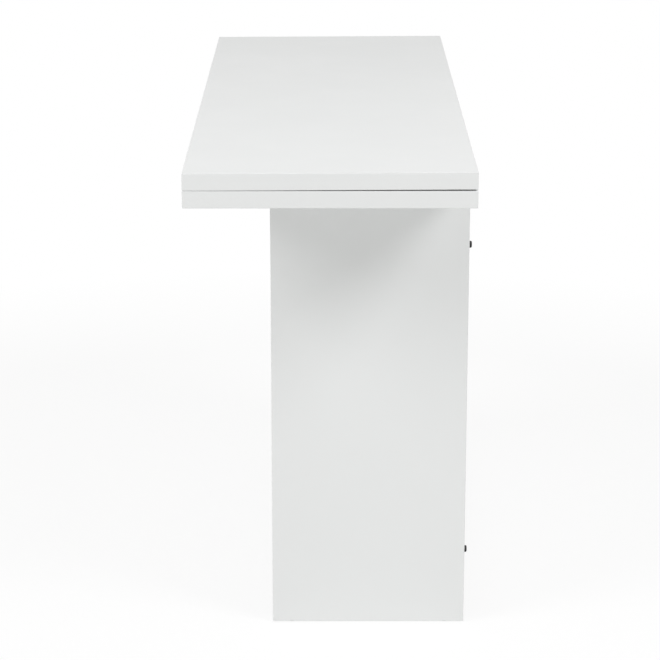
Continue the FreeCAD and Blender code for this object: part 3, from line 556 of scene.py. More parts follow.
def beech_material():
    """Turned beech: long grain along the dowel with short dark flecks."""
    tint = hardware().beech
    dark = tone(tint, 0.62)
    material, tree, shader, where = start_material("turned_beech")
    lines = use(tree, "Drawn lines", where, {"Stretch": (1500.0, 60.0, 1500.0)})
    grain = mix_colours(tree, lines["Height"], dark, tone(tint))
    fleck = spread(tree, cells(tree, where, scale=900.0)["Distance"], 0.12, 0.3, 0.55, 0.0)
    roughness = spread(tree, lines["Tone"], 0.3, 0.7, 0.6, 0.75)
    flecked = mix_colours(tree, fleck, grain, dark)
    dress(tree, shader, flecked, roughness, lines["Height"], 0.05 * MM)
    return material


def shared(name, make, **values):
    """The material of that name, made the first time it is asked for."""
    return bpy.data.materials.get(name) or make(name, **values)


def plated_zinc():
    looks = {"tint": hardware().zinc, "rough": 0.34, "stretch": (2600.0, 2600.0, 500.0), "wear_and_highlight": 0.4}
    return shared("plated_zinc", metal_material, **looks)


def moulded_nylon():
    looks = {"tint": hardware().nylon, "rough": 0.45, "grain": 0.6 * MM, "grain_depth": 0.01 * MM}
    return shared("moulded_nylon", moulded_material, **looks)


# --- pieces ------------------------------------------------------------------------------------


def cad(name):
    return frame["nodes"][name]


def names_ending(*ends):
    return sorted(name for name in frame["nodes"] if name.endswith(ends))


def node_size(name):
    low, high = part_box(name)
    return high - low


def node_slot(name):
    """The record's material slot of a node."""
    entries = frame["record"]["subparts"]
    return next(entry["material_slot"] for entry in entries if entry["node"] == name)


def node_body(name):
    bodies = frame["record"]["behaviour"]["bodies"]
    return next(body for body, members in bodies.items() if name in members)


def paint(piece, material):
    """Give a piece its only material."""
    piece.data.materials.clear()
    piece.data.materials.append(material)


def finish_piece(piece, node, material):
    """Hang a made piece on its node's body, in that node's stead."""
    paint(piece, material)
    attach(piece, node_body(node))
    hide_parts(node)
    node_slot(node)


def solid_boxes(name):
    """The lowest and highest corners of each solid in a CAD node."""
    shape = bmesh.new()
    shape.from_mesh(cad(name).data)
    bmesh.ops.remove_doubles(shape, verts=shape.verts, dist=WELD)
    waiting = set(shape.verts)
    boxes = []
    while waiting:
        found = [waiting.pop()]
        for point in found:
            for edge in point.link_edges:
                other = edge.other_vert(point)
                if other in waiting:
                    waiting.discard(other)
                    found.append(other)
        low = Vector([min(point.co[k] for point in found) for k in range(3)])
        high = Vector([max(point.co[k] for point in found) for k in range(3)])
        boxes.append((low, high))
    shape.free()
    return sorted(boxes, key=lambda box: tuple(box[0]))


# --- mesh helpers ------------------------------------------------------------------------------


def arc(centre, radius, start, end, steps):
    """Points along an arc."""
    angles = [start + (end - start) * k / steps for k in range(steps + 1)]
    x, y = centre
    return [(x + radius * math.cos(angle), y + radius * math.sin(angle)) for angle in angles]


def join_rows(shape, first, second):
    """Faces between two closed rows of points, where a row of one is a tip."""
    for k in range(max(len(first), len(second))):
        corners = (
            first[k % len(first)],
            first[(k + 1) % len(first)],
            second[(k + 1) % len(second)],
            second[k % len(second)],
        )
        shape.faces.new(list(dict.fromkeys(corners)))


def lathe(shape, section, steps, closed=False):
    """Sweep a section round Z: (radius, height) points, or a function that gives them at an angle.
    It runs from one end to the other or, closed, all the way round. A radius of 0 makes a tip.
    Gives the rows made."""
    angles = [math.tau * k / steps for k in range(steps)]
    sides = [section(angle) if callable(section) else section for angle in angles]
    rows = []
    for level in zip(*sides):
        if level[0][0] == 0:
            rows.append([shape.verts.new((0.0, 0.0, level[0][1]))])
            continue
        rows.append(
            [
                shape.verts.new((radius * math.cos(angle), radius * math.sin(angle), height))
                for angle, (radius, height) in zip(angles, level)
            ]
        )
    for first, second in zip(rows, rows[1:]):
        join_rows(shape, first, second)
    if closed:
        join_rows(shape, rows[-1], rows[0])
    return rows


def turned(section, steps, closed=False):
    """A new shape from a section swept round Z."""
    shape = bmesh.new()
    lathe(shape, section, steps, closed)
    return shape


def eased(corners, radius, closed=False):
    """A section with its corners rounded by short curves. Points on the axis and ends stay."""
    points = []
    last = len(corners) - 1
    for k, corner in enumerate(corners):
        here = Vector(corner)
        if here.x == 0 or (not closed and k in (0, last)):
            points.append(here)
            continue
        before = Vector(corners[k - 1]) - here
        after = Vector(corners[(k + 1) % (last + 1)]) - here
        start = here + before.normalized() * min(radius, before.length / 2)
        end = here + after.normalized() * min(radius, after.length / 2)
        for part in (0.0, 0.25, 0.5, 0.75, 1.0):
            first = start.lerp(here, part)
            second = here.lerp(end, part)
            points.append(first.lerp(second, part))
    return [tuple(point) for point in points]


def ring(corners, ease, steps=96):
    """A turned ring from the corners of its section."""
    return turned(eased(corners, ease, closed=True), steps, closed=True)


def oblong(inside, outside, low, high):
    """The corners of a plain ring's section."""
    return [(inside, low), (outside, low), (outside, high), (inside, high)]


def fill_flat(shape, loops):
    """A flat face inside the first closed loop of points, less the others."""
    edges = []
    for loop in loops:
        for k, point in enumerate(loop):
            pair = (loop[k - 1], point)
            edges.append(shape.edges.get(pair) or shape.edges.new(pair))
    bmesh.ops.triangle_fill(shape, use_beauty=True, edges=edges)


def circle(shape, centre, radius, height, steps=36):
    """A closed loop of points round a centre."""
    points = arc(centre, radius, 0.0, math.tau, steps)[:-1]
    return [shape.verts.new((x, y, height)) for x, y in points]


def cross(shape, reach, arm, height):
    """A closed loop of points round a cross."""
    loop = []
    for quarter in range(4):
        turn = Matrix.Rotation(quarter * QUARTER, 3, "Z")
        for x, y in ((reach, -arm), (reach, arm), (arm, arm)):
            loop.append(shape.verts.new(turn @ Vector((x, y, height))))
    return loop


def sink_cross(shape, reach, arm, height, depth):
    """A tapered cross recess that goes up from a flat face at a height. Gives its mouth."""
    floor_reach, floor_arm, floor_depth = RECESS_FLOOR
    mouth = cross(shape, reach, arm, height)
    floor = cross(shape, reach * floor_reach, arm * floor_arm, height + depth * floor_depth)
    join_rows(shape, mouth, floor)
    join_rows(shape, floor, [shape.verts.new((0.0, 0.0, height + depth))])
    return mouth


def drilled_plate(shape, outline, low, high, given, places, bore=None):
    """A plate between two heights with screw holes, countersunk from below, and perhaps a bore at
    the origin. Gives the outlines of its lower and upper face."""
    rims = []
    holes = []
    for height, mouth in ((low, given.screw_head), (high, given.screw_shank)):
        rims.append([shape.verts.new((*point, height)) for point in outline])
        holes.append([circle(shape, place, mouth + given.fit, height) for place in places])
        if bore:
            holes[-1].append(circle(shape, (0.0, 0.0), bore, height, steps=64))
        fill_flat(shape, [rims[-1], *holes[-1]])
    if bore:
        join_rows(shape, holes[0][-1], holes[1][-1])
    for place, mouth, way_out in zip(places, *holes):
        waist = circle(shape, place, given.screw_shank + given.fit, low + given.screw_cone)
        join_rows(shape, mouth, waist)
        join_rows(shape, waist, way_out)
    return rims


def levels(low, high, step):
    """Heights from low to high, about a step apart."""
    steps = max(1, round((high - low) / step))
    return [low + (high - low) * k / steps for k in range(steps + 1)]


def thread(angle, low, high, core, crest, pitch, flank, detail):
    """A thread's section at an angle. The flank is a side's share of the pitch, and the detail is
    how many points a pitch has."""
    points = []
    for height in levels(low, high, pitch / detail):
        phase = (height / pitch - angle / math.tau) % 1.0
        ridge = max(0.0, 1.0 - abs(phase - 0.5) / flank)
        points.append((core + (crest - core) * ridge, height))
    return points


def pointed(section, end, point):
    """A section that narrows to a point at its end."""
    narrow = [(radius * min(1.0, (end - height) / point), height) for radius, height in section]
    return [*narrow, (0.0, end)]


def lay(whole, mesh, places):
    """Add a copy of a mesh to a shape at each place."""
    for place in places:
        start = len(whole.verts)
        whole.from_mesh(mesh)
        whole.verts.ensure_lookup_table()
        bmesh.ops.transform(whole, matrix=place, verts=whole.verts[start:])


def stand(name, shape):
    """An object of a shape, which is used up."""
    mesh = bpy.data.meshes.new(name)
    shape.to_mesh(mesh)
    shape.free()
    piece = bpy.data.objects.new(name, mesh)
    bpy.context.scene.collection.objects.link(piece)
    return piece


def make_piece(name, shape, places=(Matrix.Identity(4),)):
    """An object with a copy of a shape at each place, shaded smooth between its sharp edges."""
    bmesh.ops.remove_doubles(shape, verts=shape.verts, dist=WELD)
    bmesh.ops.recalc_face_normals(shape, faces=shape.faces)
    model = bpy.data.meshes.new(f"{name}_model")
    shape.to_mesh(model)
    shape.free()
    whole = bmesh.new()
    lay(whole, model, places)
    bpy.data.meshes.remove(model)
    piece = stand(name, whole)
    piece.data.shade_smooth()
    piece.data.set_sharp_from_angle(angle=SMOOTH_ANGLE)
    return piece


def fit(node, name, shape, places, material, bevel=0.0):
    """Make a piece from a shape, bevel its edges if asked, and hang it in its node's stead."""
    piece = make_piece(name, shape, places)
    if bevel:
        soften(piece, bevel)
    finish_piece(piece, node, material)


def gather(name, parts):
    """One piece from copies of several pieces, each with its places. The parts are used up."""
    whole = bmesh.new()
    for part, places in parts:
        lay(whole, part.data, places)
        bpy.data.objects.remove(part)
    return stand(name, whole)


def apply(piece, kind, **settings):
    """Put a piece's mesh through a modifier."""
    modifier = piece.modifiers.new(kind, kind)
    for name, value in settings.items():
        setattr(modifier, name, value)
    bpy.context.view_layer.update()
    graph = bpy.context.evaluated_depsgraph_get()
    mesh = bpy.data.meshes.new_from_object(piece.evaluated_get(graph))
    rough = piece.data
    piece.modifiers.clear()
    piece.data = mesh
    bpy.data.meshes.remove(rough)


def soften(piece, width):
    """Bevel a piece's sharp edges, with large faces that keep their own normals."""
    bevel = {"width": width, "segments": 2, "limit_method": "ANGLE", "angle_limit": SMOOTH_ANGLE}
    apply(piece, "BEVEL", **bevel)
    shape = bmesh.new()
    shape.from_mesh(piece.data)
    bmesh.ops.dissolve_degenerate(shape, dist=WELD, edges=shape.edges)
    shape.to_mesh(piece.data)
    shape.free()
    piece.data.set_sharp_from_angle(angle=SMOOTH_ANGLE)
    apply(piece, "WEIGHTED_NORMAL", keep_sharp=True)


def carve(piece, boxes):
    """Cut boxes, each a lowest and a highest corner, out of a piece."""
    shape = bmesh.new()
    for low, high in boxes:
        made = bmesh.ops.create_cube(shape, size=1.0)["verts"]
        size = Vector(high) - Vector(low)
        bmesh.ops.scale(shape, vec=size, verts=made)
        bmesh.ops.translate(shape, vec=Vector(low) + size / 2, verts=made)
    cutter = make_piece(f"{piece.name}_cutter", shape)
    cut = {"operation": "DIFFERENCE", "solver": "EXACT", "use_self": True, "object": cutter}
    apply(piece, "BOOLEAN", **cut)
    bpy.data.objects.remove(cutter)


# --- boards ------------------------------------------------------------------------------------


class TABLE_OT_boards(bpy.types.Operator):
    """Face the leaves and panels with white melamine"""

    bl_idname = "table.boards"
    bl_label = "Boards"

    def execute(self, context):
        for name in names_ending("_leaf", "_panel", "_shelf"):
            paint(cad(name), board_material(name))
        return {"FINISHED"}


class TABLE_OT_bands(bpy.types.Operator):
    """Finish the edge bands"""

    bl_idname = "table.bands"
    bl_label = "Edge bands"

    def execute(self, context):
        band = band_material()
        for name in names_ending("_band"):
            paint(cad(name), band)
        return {"FINISHED"}


# --- hinges and screws -------------------------------------------------------------------------

SIDES = ("near", "middle", "far")
ROLL_STEPS = 32  # edges round a knuckle
ROLL_START = math.radians(75)  # where a knuckle's outside begins to be round
NECK_REACH = 0.68  # the bend between a plate and its knuckle, in the knuckle's outer radius
NECK_RISE = 0.92  # and its height, in that of the plate's back
RIVET = ((0.0, 0.0), (0.6, 0.06 * MM), (1.0, 0.35 * MM))  # a pin's end: radius shares and depths
RIVET_EASE = 0.1 * MM


def fold_tilt():
    """How far the folded upper leaf leans from level, towards its free edge."""
    fold = next(joint for joint in frame["joints"] if joint["name"] == "leaf_fold")
    return math.radians(max(fold["range_deg"]) - 180.0)


def pin_middle(side):
    low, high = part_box(f"{side}_hinge_pin")
    return (low + high) / 2


def half_hinge():
    return node_size("middle_hinge_pin").y / 2


def leaf_face():
    """From the pin's middle down to the face of the lower leaf."""
    return pin_middle("middle").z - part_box("lower_leaf")[1].z


def hinge_seat(side, leaf):
    """Where a hinge half stands: X into its leaf, Y along the pin, Z away from the other leaf."""
    place = Matrix.Translation(pin_middle(side))
    if leaf == "lower":
        return place @ Matrix.Rotation(math.pi, 4, "Y")
    return place @ Matrix.Rotation(-fold_tilt(), 4, "Y") @ Matrix.Rotation(math.pi, 4, "Z")


def hinge_screw_places():
    """The screws of one hinge, as X and Y from the middle of its pin, from the screws' own boxes."""
    centres = [(low + high) / 2 for low, high in solid_boxes("lower_hinge_screws")]
    offsets = [centre - pin_middle("middle") for centre in centres]
    return [(-offset.x, offset.y) for offset in offsets if abs(offset.y) < half_hinge()]


def knuckle_path(given, reach, face):
    """The rolled end of a hinge plate, as its outer and its inner points in X and Z."""
    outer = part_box("near_hinge_lower_half")[1].z - pin_middle("near").z
    inner = node_size("near_hinge_pin").x / 2 + given.pin_play
    back = face + given.plate
    closes = math.tau + math.asin((face - given.seam) / outer)
    neck = NECK_REACH * outer
    outside = [(reach, back), (neck, NECK_RISE * back)]
    inside = [(reach, face), (neck, face)]
    outside += arc((0.0, 0.0), outer, ROLL_START, closes, ROLL_STEPS)
    inside += arc((0.0, 0.0), inner, math.asin(face / inner), closes, ROLL_STEPS)
    return outside, inside


def hinge_half(given, own):
    """A hinge half, with X into its leaf, Y along the pin and Z away from the other leaf."""
    shape = bmesh.new()
    low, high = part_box("near_hinge_lower_half")
    middle = pin_middle("near")
    half = half_hinge()
    width = middle.x - low.x
    face = leaf_face()
    reach = high.z - middle.z + given.knuckle_gap
    pitch = 2 * half / given.knuckles
    trim = given.knuckle_gap / 2
    spans = [(k * pitch - half + trim, (k + 1) * pitch - half - trim) for k in own]
    stops = sorted({-half, half, *(stop for span in spans for stop in span)})
    outline = [(reach, y) for y in reversed(stops)]
    for sign, start in ((-1, -QUARTER), (1, 0.0)):
        centre = (width - given.corner, sign * (half - given.corner))
        outline += arc(centre, given.corner, start, start + QUARTER, CORNER_STEPS)
    front_rim, back_rim = drilled_plate(
        shape, outline, face, face + given.plate, given, hinge_screw_places()
    )
    for k in range(len(outline)):
        after = (k + 1) % len(outline)
        if 0 < after < len(stops):
            centre = (outline[k][1] + outline[after][1]) / 2
            if any(start < centre < end for start, end in spans):
                continue
        shape.faces.new((front_rim[k], front_rim[after], back_rim[after], back_rim[k]))
    outside, inside = knuckle_path(given, reach, face)
    comb = {y: k for k, (x, y) in enumerate(outline[: len(stops)])}
    for span in spans:
        loops = []
        for y in span:
            outer = [back_rim[comb[y]], *(shape.verts.new((x, y, z)) for x, z in outside[1:])]
            inner = [front_rim[comb[y]], *(shape.verts.new((x, y, z)) for x, z in inside[1:])]
            for k in range(len(outer) - 1):
                shape.faces.new((outer[k], outer[k + 1], inner[k + 1], inner[k]))
            loops.append([*outer, *reversed(inner)])
        first, second = loops
        for k in range(len(first) - 1):
            shape.faces.new((first[k], first[k + 1], second[k + 1], second[k]))
    return shape


def hinge_pin():
    """A riveted pin: its ends are domed a little. Its middle is at the origin, along Y."""
    radius = node_size("near_hinge_pin").x / 2
    section = [(radius * part, depth - half_hinge()) for part, depth in RIVET]
    section += [(r, -z) for r, z in reversed(section)]
    shape = turned(eased(section, RIVET_EASE), steps=32)
    bmesh.ops.rotate(shape, matrix=Matrix.Rotation(QUARTER, 3, "X"), verts=shape.verts)
    return shape


def countersunk_screw(given):
    """A wood screw, with its head's face at Z 0 and its point up."""
    low, high = solid_boxes("swivel_plate_screws")[0]
    end = high.z - low.z
    land = given.screw_land
    form = (given.screw_core, given.screw_shank, given.screw_pitch)

    def section(angle):
        ridges = thread(angle, given.screw_cone, end, *form, flank=0.25, detail=5)
        return [
            (given.screw_head - land, 0.0),
            (given.screw_head, land),
            (given.screw_head, 2 * land),
            (given.screw_core, given.screw_cone),
            *pointed(ridges[1:-1], end, given.screw_point),
        ]

    shape = bmesh.new()
    rows = lathe(shape, section, steps=32)
    mouth = sink_cross(shape, given.recess_reach, given.recess_arm, 0.0, given.recess_depth)
    fill_flat(shape, [rows[0], mouth])
    return shape


class TABLE_OT_hinges(bpy.types.Operator):
    """Form the three hinges with rolled knuckles, riveted pins and countersunk screws"""

    bl_idname = "table.hinges"
    bl_label = "Hinges"

    def execute(self, context):
        given = hinges()
        looks = {"rough": 0.3, "stretch": (300.0, 4200.0, 4200.0), "wear_and_highlight": 0.5}
        nickel = metal_material("nickel_plate", hardware().nickel, **looks)
        bevel = hardware().edge_softening
        for first, leaf in enumerate(("lower", "upper")):
            own = range(first, given.knuckles, 2)
            seats = {side: hinge_seat(side, leaf) for side in SIDES}
            for side, seat in seats.items():
                name = f"{side}_hinge_{leaf}"
                fit(f"{name}_half", name, hinge_half(given, own), [seat], nickel, bevel)
            holes = [Matrix.Translation((x, y, leaf_face())) for x, y in hinge_screw_places()]
            places = [seat @ hole for seat in seats.values() for hole in holes]
            screw = countersunk_screw(given)
            fit(f"{leaf}_hinge_screws", f"{leaf}_leaf_screws", screw, places, plated_zinc())
        for side in SIDES:
            place = Matrix.Translation(pin_middle(side))
            fit(f"{side}_hinge_pin", f"{side}_riveted_pin", hinge_pin(), [place], nickel)
        return {"FINISHED"}


# --- swivel fitting ----------------------------------------------------------------------------

NUT_FACE = 0.97  # the round of a nut's face, inside its chamfer, in half its flats
NUT_NECK = 0.94  # the top of its collar, in half its flats
NUT_COLLAR = ((0.93, 0.6), (0.88, 0.2), (0.83, 0.0))  # the collar, in half the flats and its height
NUT_SEAT = 0.8  # how high the nylon ring reaches in the collar
HEXAGON_TURN = math.radians(60)
CHAMFER_SLOPE = math.tan(math.radians(30))


def pivot_place(name):
    """On the pivot's axis, at the height of a node's lowest point."""
    low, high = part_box("pivot_bolt")
    middle = (low + high) / 2
    return Matrix.Translation((middle.x, middle.y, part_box(name)[0].z))


def standing(low, high):
    """In the middle of a box's floor."""
    return Matrix.Translation(((low.x + high.x) / 2, (low.y + high.y) / 2, low.z))


def swivel_plate():
    """A stamped square plate with four countersunk holes, its underside at Z 0."""
    shape = bmesh.new()
    given = hinges()
    size = node_size("swivel_plate")
    straight = size.x / 2 - given.corner
    outline = []
    for quarter in range(4):
        start = quarter * QUARTER
        centre = Matrix.Rotation(start, 2) @ Vector((straight, straight))
        outline += arc(centre, given.corner, start, start + QUARTER, CORNER_STEPS)
    middle = pivot_place("swivel_plate").translation
    places = [((low + high) / 2 - middle).xy for low, high in solid_boxes("swivel_plate_screws")]
    bore = hardware().bolt_radius + hardware().bolt_play
    join_rows(shape, *drilled_plate(shape, outline, 0.0, size.z, given, places, bore))
    return shape


def pivot_bolt(given):
    """The pivot bolt, from its threaded end at Z 0 up to its flat round head."""
    size = node_size("pivot_bolt")
    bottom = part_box("pivot_bolt")[0].z
    radius = given.bolt_radius
    pitch = given.bolt_pitch
    head = size.x / 2
    head_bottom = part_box("swivel_plate")[1].z - bottom
    thread_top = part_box("pivot_bush")[0].z - bottom - pitch / 2
    core = radius - given.bolt_thread
    ease = 3 * given.edge_softening

    def section(angle):
        ridges = thread(angle, 0.0, thread_top, core, radius, pitch, flank=0.5, detail=10)
        return [
            (0.0, 0.0),
            *((min(crest, core - ease + height), height) for crest, height in ridges),
            (radius, thread_top + pitch / 4),
            (radius, head_bottom),
            (head - ease / 2, head_bottom),
            (head, head_bottom + ease / 2),
            (head, size.z - ease),
            (head - ease * 0.3, size.z - ease * 0.3),
            (head - ease, size.z),
            (0.0, size.z),
        ]

    return turned(section, steps=56)


def pivot_nut(given):
    """A locking nut with its hexagon up, chamfered on both faces, and its collar down."""
    size = node_size("pivot_nut")
    bore = given.bolt_radius + given.bolt_play
    seat = bore + given.nut_insert
    flats = size.y / 2
    face = flats * NUT_FACE
    shoulder = size.z - given.hexagon
    ease = given.edge_softening

    def section(angle):
        side = flats / math.cos(angle % HEXAGON_TURN - HEXAGON_TURN / 2)
        drop = (side - face) * CHAMFER_SLOPE
        return [
            (bore, size.z - 3 * ease),
            (bore + 3 * ease, size.z),
            (face, size.z),
            (side, size.z - drop),
            (side, shoulder + drop),
            (face, shoulder),
            (flats * NUT_NECK, shoulder - ease),
            *((flats * wide, shoulder * high) for wide, high in NUT_COLLAR),
            (seat + ease, 0.0),
            (seat, ease),
            (seat, shoulder * NUT_SEAT),
            (bore, shoulder * NUT_SEAT),
        ]

    return turned(section, steps=96, closed=True)


def nut_insert(given):
    """The locking nut's nylon ring, which the bolt's thread bites into."""
    shoulder = node_size("pivot_nut").z - given.hexagon
    inside = given.bolt_radius
    outside = inside + given.bolt_play + given.nut_insert
    ease = given.edge_softening
    return ring(oblong(inside, outside, ease, shoulder * NUT_SEAT), ease)


def thrust_washer(given):
    size = node_size("thrust_washer")
    inside = given.bolt_radius + given.bolt_play
    corners = oblong(inside, size.x / 2, 0.0, size.z - given.washer_gap)
    return ring(corners, 2 * given.edge_softening)


def spring_washer(given):
    """A dished washer, higher at its rim."""
    size = node_size("spring_washer")
    inside = given.bolt_radius + given.bolt_play
    outside = size.x / 2
    thick = given.spring_thickness
    corners = [(inside, 0.0), (outside, size.z - thick), (outside, size.z), (inside, thick)]
    return ring(corners, 1.5 * given.edge_softening)


def pivot_bush(given):
    """A flanged bush with its flange down."""
    size = node_size("pivot_bush")
    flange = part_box("carrier_panel")[0].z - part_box("pivot_bush")[0].z
    inside = given.bolt_radius + given.bush_play
    barrel = given.bolt_radius + given.bush_wall
    outer = [(size.x / 2, 0.0), (size.x / 2, flange), (barrel, flange), (barrel, size.z)]
    return ring([(inside, 0.0), *outer, (inside, size.z)], 2 * given.edge_softening)


def slide_disc(given):
    size = node_size("slide_disc")
    corners = oblong(given.bolt_radius + given.disc_play, size.x / 2, 0.0, size.z)
    return ring(corners, 3 * given.edge_softening, steps=128)


def stop_pin(given):
    """The stop pin, chamfered at its top."""
    size = node_size("stop_pin")
    radius = size.x / 2
    chamfer = radius / 4
    side = [(radius, 0.0), (radius, size.z - chamfer), (radius - chamfer, size.z)]
    section = eased([(0.0, 0.0), *side, (0.0, size.z)], 1.5 * given.edge_softening)
    return turned(section, steps=64)


class TABLE_OT_swivel(bpy.types.Operator):
    """Turn and stamp the swivel plate, pivot bolt, bush, disc, washers, nut and stop pin"""

    bl_idname = "table.swivel"
    bl_label = "Swivel fitting"

    def execute(self, context):
        given = hardware()
        zinc = plated_zinc()
        nylon = moulded_nylon()
        bevel = 2 * given.edge_softening
        places = [pivot_place("swivel_plate")]
        fit("swivel_plate", "stamped_swivel_plate", swivel_plate(), places, zinc, bevel)
        places = [standing(low, high) for low, high in solid_boxes("swivel_plate_screws")]
        fit("swivel_plate_screws", "plate_screws", countersunk_screw(hinges()), places, zinc)
        for node, name, form, material in (
            ("pivot_bolt", "threaded_pivot_bolt", pivot_bolt, zinc),
            ("pivot_nut", "locking_nut", pivot_nut, zinc),
            ("thrust_washer", "turned_thrust_washer", thrust_washer, zinc),
            ("spring_washer", "dished_spring_washer", spring_washer, zinc),
            ("pivot_bush", "flanged_pivot_bush", pivot_bush, nylon),
            ("slide_disc", "moulded_slide_disc", slide_disc, nylon),
        ):
            fit(node, name, form(given), [pivot_place(node)], material)
        insert = make_piece("locking_nut_insert", nut_insert(given), [pivot_place("pivot_nut")])
        paint(insert, nylon)
        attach(insert, node_body("pivot_nut"))
        places = [standing(*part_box("stop_pin"))]
        fit("stop_pin", "turned_stop_pin", stop_pin(given), places, zinc)
        return {"FINISHED"}


# --- panel joints ------------------------------------------------------------------------------

CAM_BOLT_CORE = 0.7  # a cam bolt's waist and core, in its radius
DOWEL_CHAMFER = 0.3  # in a dowel's radius


def cam_lock(given, depth):
    """A cam lock with its face at Z 0, its body up, and its bolt towards X."""
    shape = bmesh.new()
    radius = given.cam_radius
    ease = given.edge_softening
    dish = given.cam_dish
    inside = radius - given.cam_rim
    corners = [(inside - ease, dish), (inside, 0.0), (radius, 0.0), (radius, depth), (0.0, depth)]
    rows = lathe(shape, eased(corners, ease), steps=64)
    reach = given.cam_slot_reach
    mouth = sink_cross(shape, reach, given.cam_slot_arm, dish, given.cam_slot_depth - dish)
    tip = inside - 2 * ease
    heel = reach + 2 * ease
    arrow = ((tip, 0.0), (heel, tip - heel), (heel, heel - tip))
    foot = [shape.verts.new((x, y, dish)) for x, y in arrow]
    top = [shape.verts.new((x, y, dish / 3)) for x, y in arrow]
    join_rows(shape, foot, top)
    shape.faces.new(top)
    fill_flat(shape, [rows[0], mouth, foot])
    return shape


def cam_bolt_room(given, depth):
    """What a cam lock leaves free for its bolt: a channel towards X, and room for the head."""
    middle = depth - given.cam_reach
    shank = given.cam_bolt_radius + given.cam_bolt_play
    head = given.cam_bolt_head + given.cam_bolt_play
    long_half = given.cam_bolt_head_length / 2 + given.cam_bolt_play
    return [
        ((0.0, -shank, middle - shank), (2 * given.cam_radius, shank, middle + shank)),
        ((-long_half, -head, middle - head), (long_half, head, middle + head)),
    ]


def cam_bolt(given, end):
    """A cam bolt along Z: its round head at Z 0, a waist, a plain shank and a wood thread."""
    radius = given.cam_bolt_radius
    head = given.cam_bolt_head
    head_end = given.cam_bolt_head_length
    ease = 3 * given.edge_softening
    core = CAM_BOLT_CORE * radius
    start = end - given.cam_bolt_thread
    form = (core, radius, given.cam_bolt_pitch)

    def section(angle):
        ridges = thread(angle, start, end, *form, flank=0.3, detail=6)
        return [
            (0.0, 0.0),
            (head - ease, 0.0),
            (head, ease),
            (head, head_end - ease / 2),
            (head - ease / 2, head_end),
            (core, head_end),
            (core, head_end + 2 * ease),
            (radius, head_end + 4 * ease),
            (radius, start - ease),
            *pointed(ridges[:-1], end, 2 * radius - core),
        ]

    return turned(section, steps=24)


def fluted_dowel(given, end, radius):
    """A grooved dowel along Z with chamfered ends, from Z 0."""
    chamfer = DOWEL_CHAMFER * radius

    def section(angle):
        groove = given.flute_depth * (0.5 - 0.5 * math.cos(angle * given.dowel_flutes))
        half = [(0.0, 0.0), (radius - chamfer, 0.0), (radius - groove, chamfer)]
        return [*half, *((reach, end - height) for reach, height in reversed(half))]

    return turned(section, steps=4 * given.dowel_flutes)


def across_end(low, high):
    """At a box's inner end, with Z out through the nearer end panel."""
    middle = (low + high) / 2
    outward = 1.0 if middle.y > 0 else -1.0
    start = Vector((middle.x, low.y if outward > 0 else high.y, middle.z))
    return Matrix.Translation(start) @ Matrix.Rotation(-outward * QUARTER, 4, "X")


def cam_seat(low, high, diameter):
    """A cam lock's place, with Z into its panel and X towards its bolt, and its depth."""
    size = high - low
    middle = (low + high) / 2
    towards_bolt = Matrix.Rotation(math.copysign(QUARTER, middle.y), 4, "Z")
    if abs(size.x - diameter) < 0.1 * MM:
        return Matrix.Translation((middle.x, middle.y, low.z)) @ towards_bolt, size.z
    place = Matrix.Translation((high.x, middle.y, middle.z))
    return place @ Matrix.Rotation(-QUARTER, 4, "Y") @ towards_bolt, size.x


class TABLE_OT_joints(bpy.types.Operator):
    """Form the cam locks, their bolts and the dowels that join the panels"""

    bl_idname = "table.joints"
    bl_label = "Panel joints"

    def execute(self, context):
        given = hardware()
        looks = {"rough": 0.5, "stretch": (1500.0, 1500.0, 1500.0), "wear_and_highlight": 0.5}
        cast = metal_material("cam_metal", given.cast_zinc, **looks)
        seats = {}
        for low, high in solid_boxes("cam_locks"):
            place, depth = cam_seat(low, high, 2 * given.cam_radius)
            seats.setdefault(round(depth, 5), []).append(place)
        made = []
        for depth, places in seats.items():
            model = make_piece(f"cam_{round(depth / MM)}", cam_lock(given, depth))
            carve(model, cam_bolt_room(given, depth))
            made.append((model, places))
        finish_piece(gather("cam_lock_row", made), "cam_locks", cast)
        boxes = solid_boxes("cam_bolts")
        places = [across_end(low, high) for low, high in boxes]
        low, high = boxes[0]
        shape = cam_bolt(given, high.y - low.y)
        fit("cam_bolts", "threaded_cam_bolts", shape, places, plated_zinc())
        boxes = solid_boxes("dowels")
        places = [across_end(low, high) for low, high in boxes]
        low, high = boxes[0]
        shape = fluted_dowel(given, high.y - low.y, (high.x - low.x) / 2)
        fit("dowels", "fluted_dowels", shape, places, beech_material())
        return {"FINISHED"}


# --- feet, bumpers and pads --------------------------------------------------------------------

NAIL_SHANK = 0.85  # a nail's shank between its rings, in its radius
NAIL_RING = 1.12  # a ring, in the shank's radius
BUMPER_FOOT = 0.12  # the height of a bumper's foot, in that of the bumper
BUMPER_WAIST = 0.965  # its waist, in its radius
BUMPER_FACE = 0.6  # its flat face, in its radius
BUMPER_DISH = 0.05  # how deep its face is dished, in its height
BUMPER_MIDDLE = ((0.9, 0.0), (0.8, 1.0), (0.28, 1.0), (0.22, 0.2), (0.1, 0.0), (0.0, 0.1))
FELT_SIDE = ((0.0, 0.985), (0.2, 1.0), (0.5, 1.0), (0.8, 1.0), (0.93, 0.99))
FELT_FACE = (0.985, 0.955, 0.9, 0.82, 0.72, 0.6, 0.45, 0.3, 0.15)  # rings, in a pad's radius
FELT_COARSE = 0.4  # the coarse unevenness's frequency, in that of the tufts
FELT_FINE = 0.6  # the tufts' own unevenness, in the coarse one's depth
FELT_DROP = 0.04  # how far a pad's face falls towards its rim, in its thickness


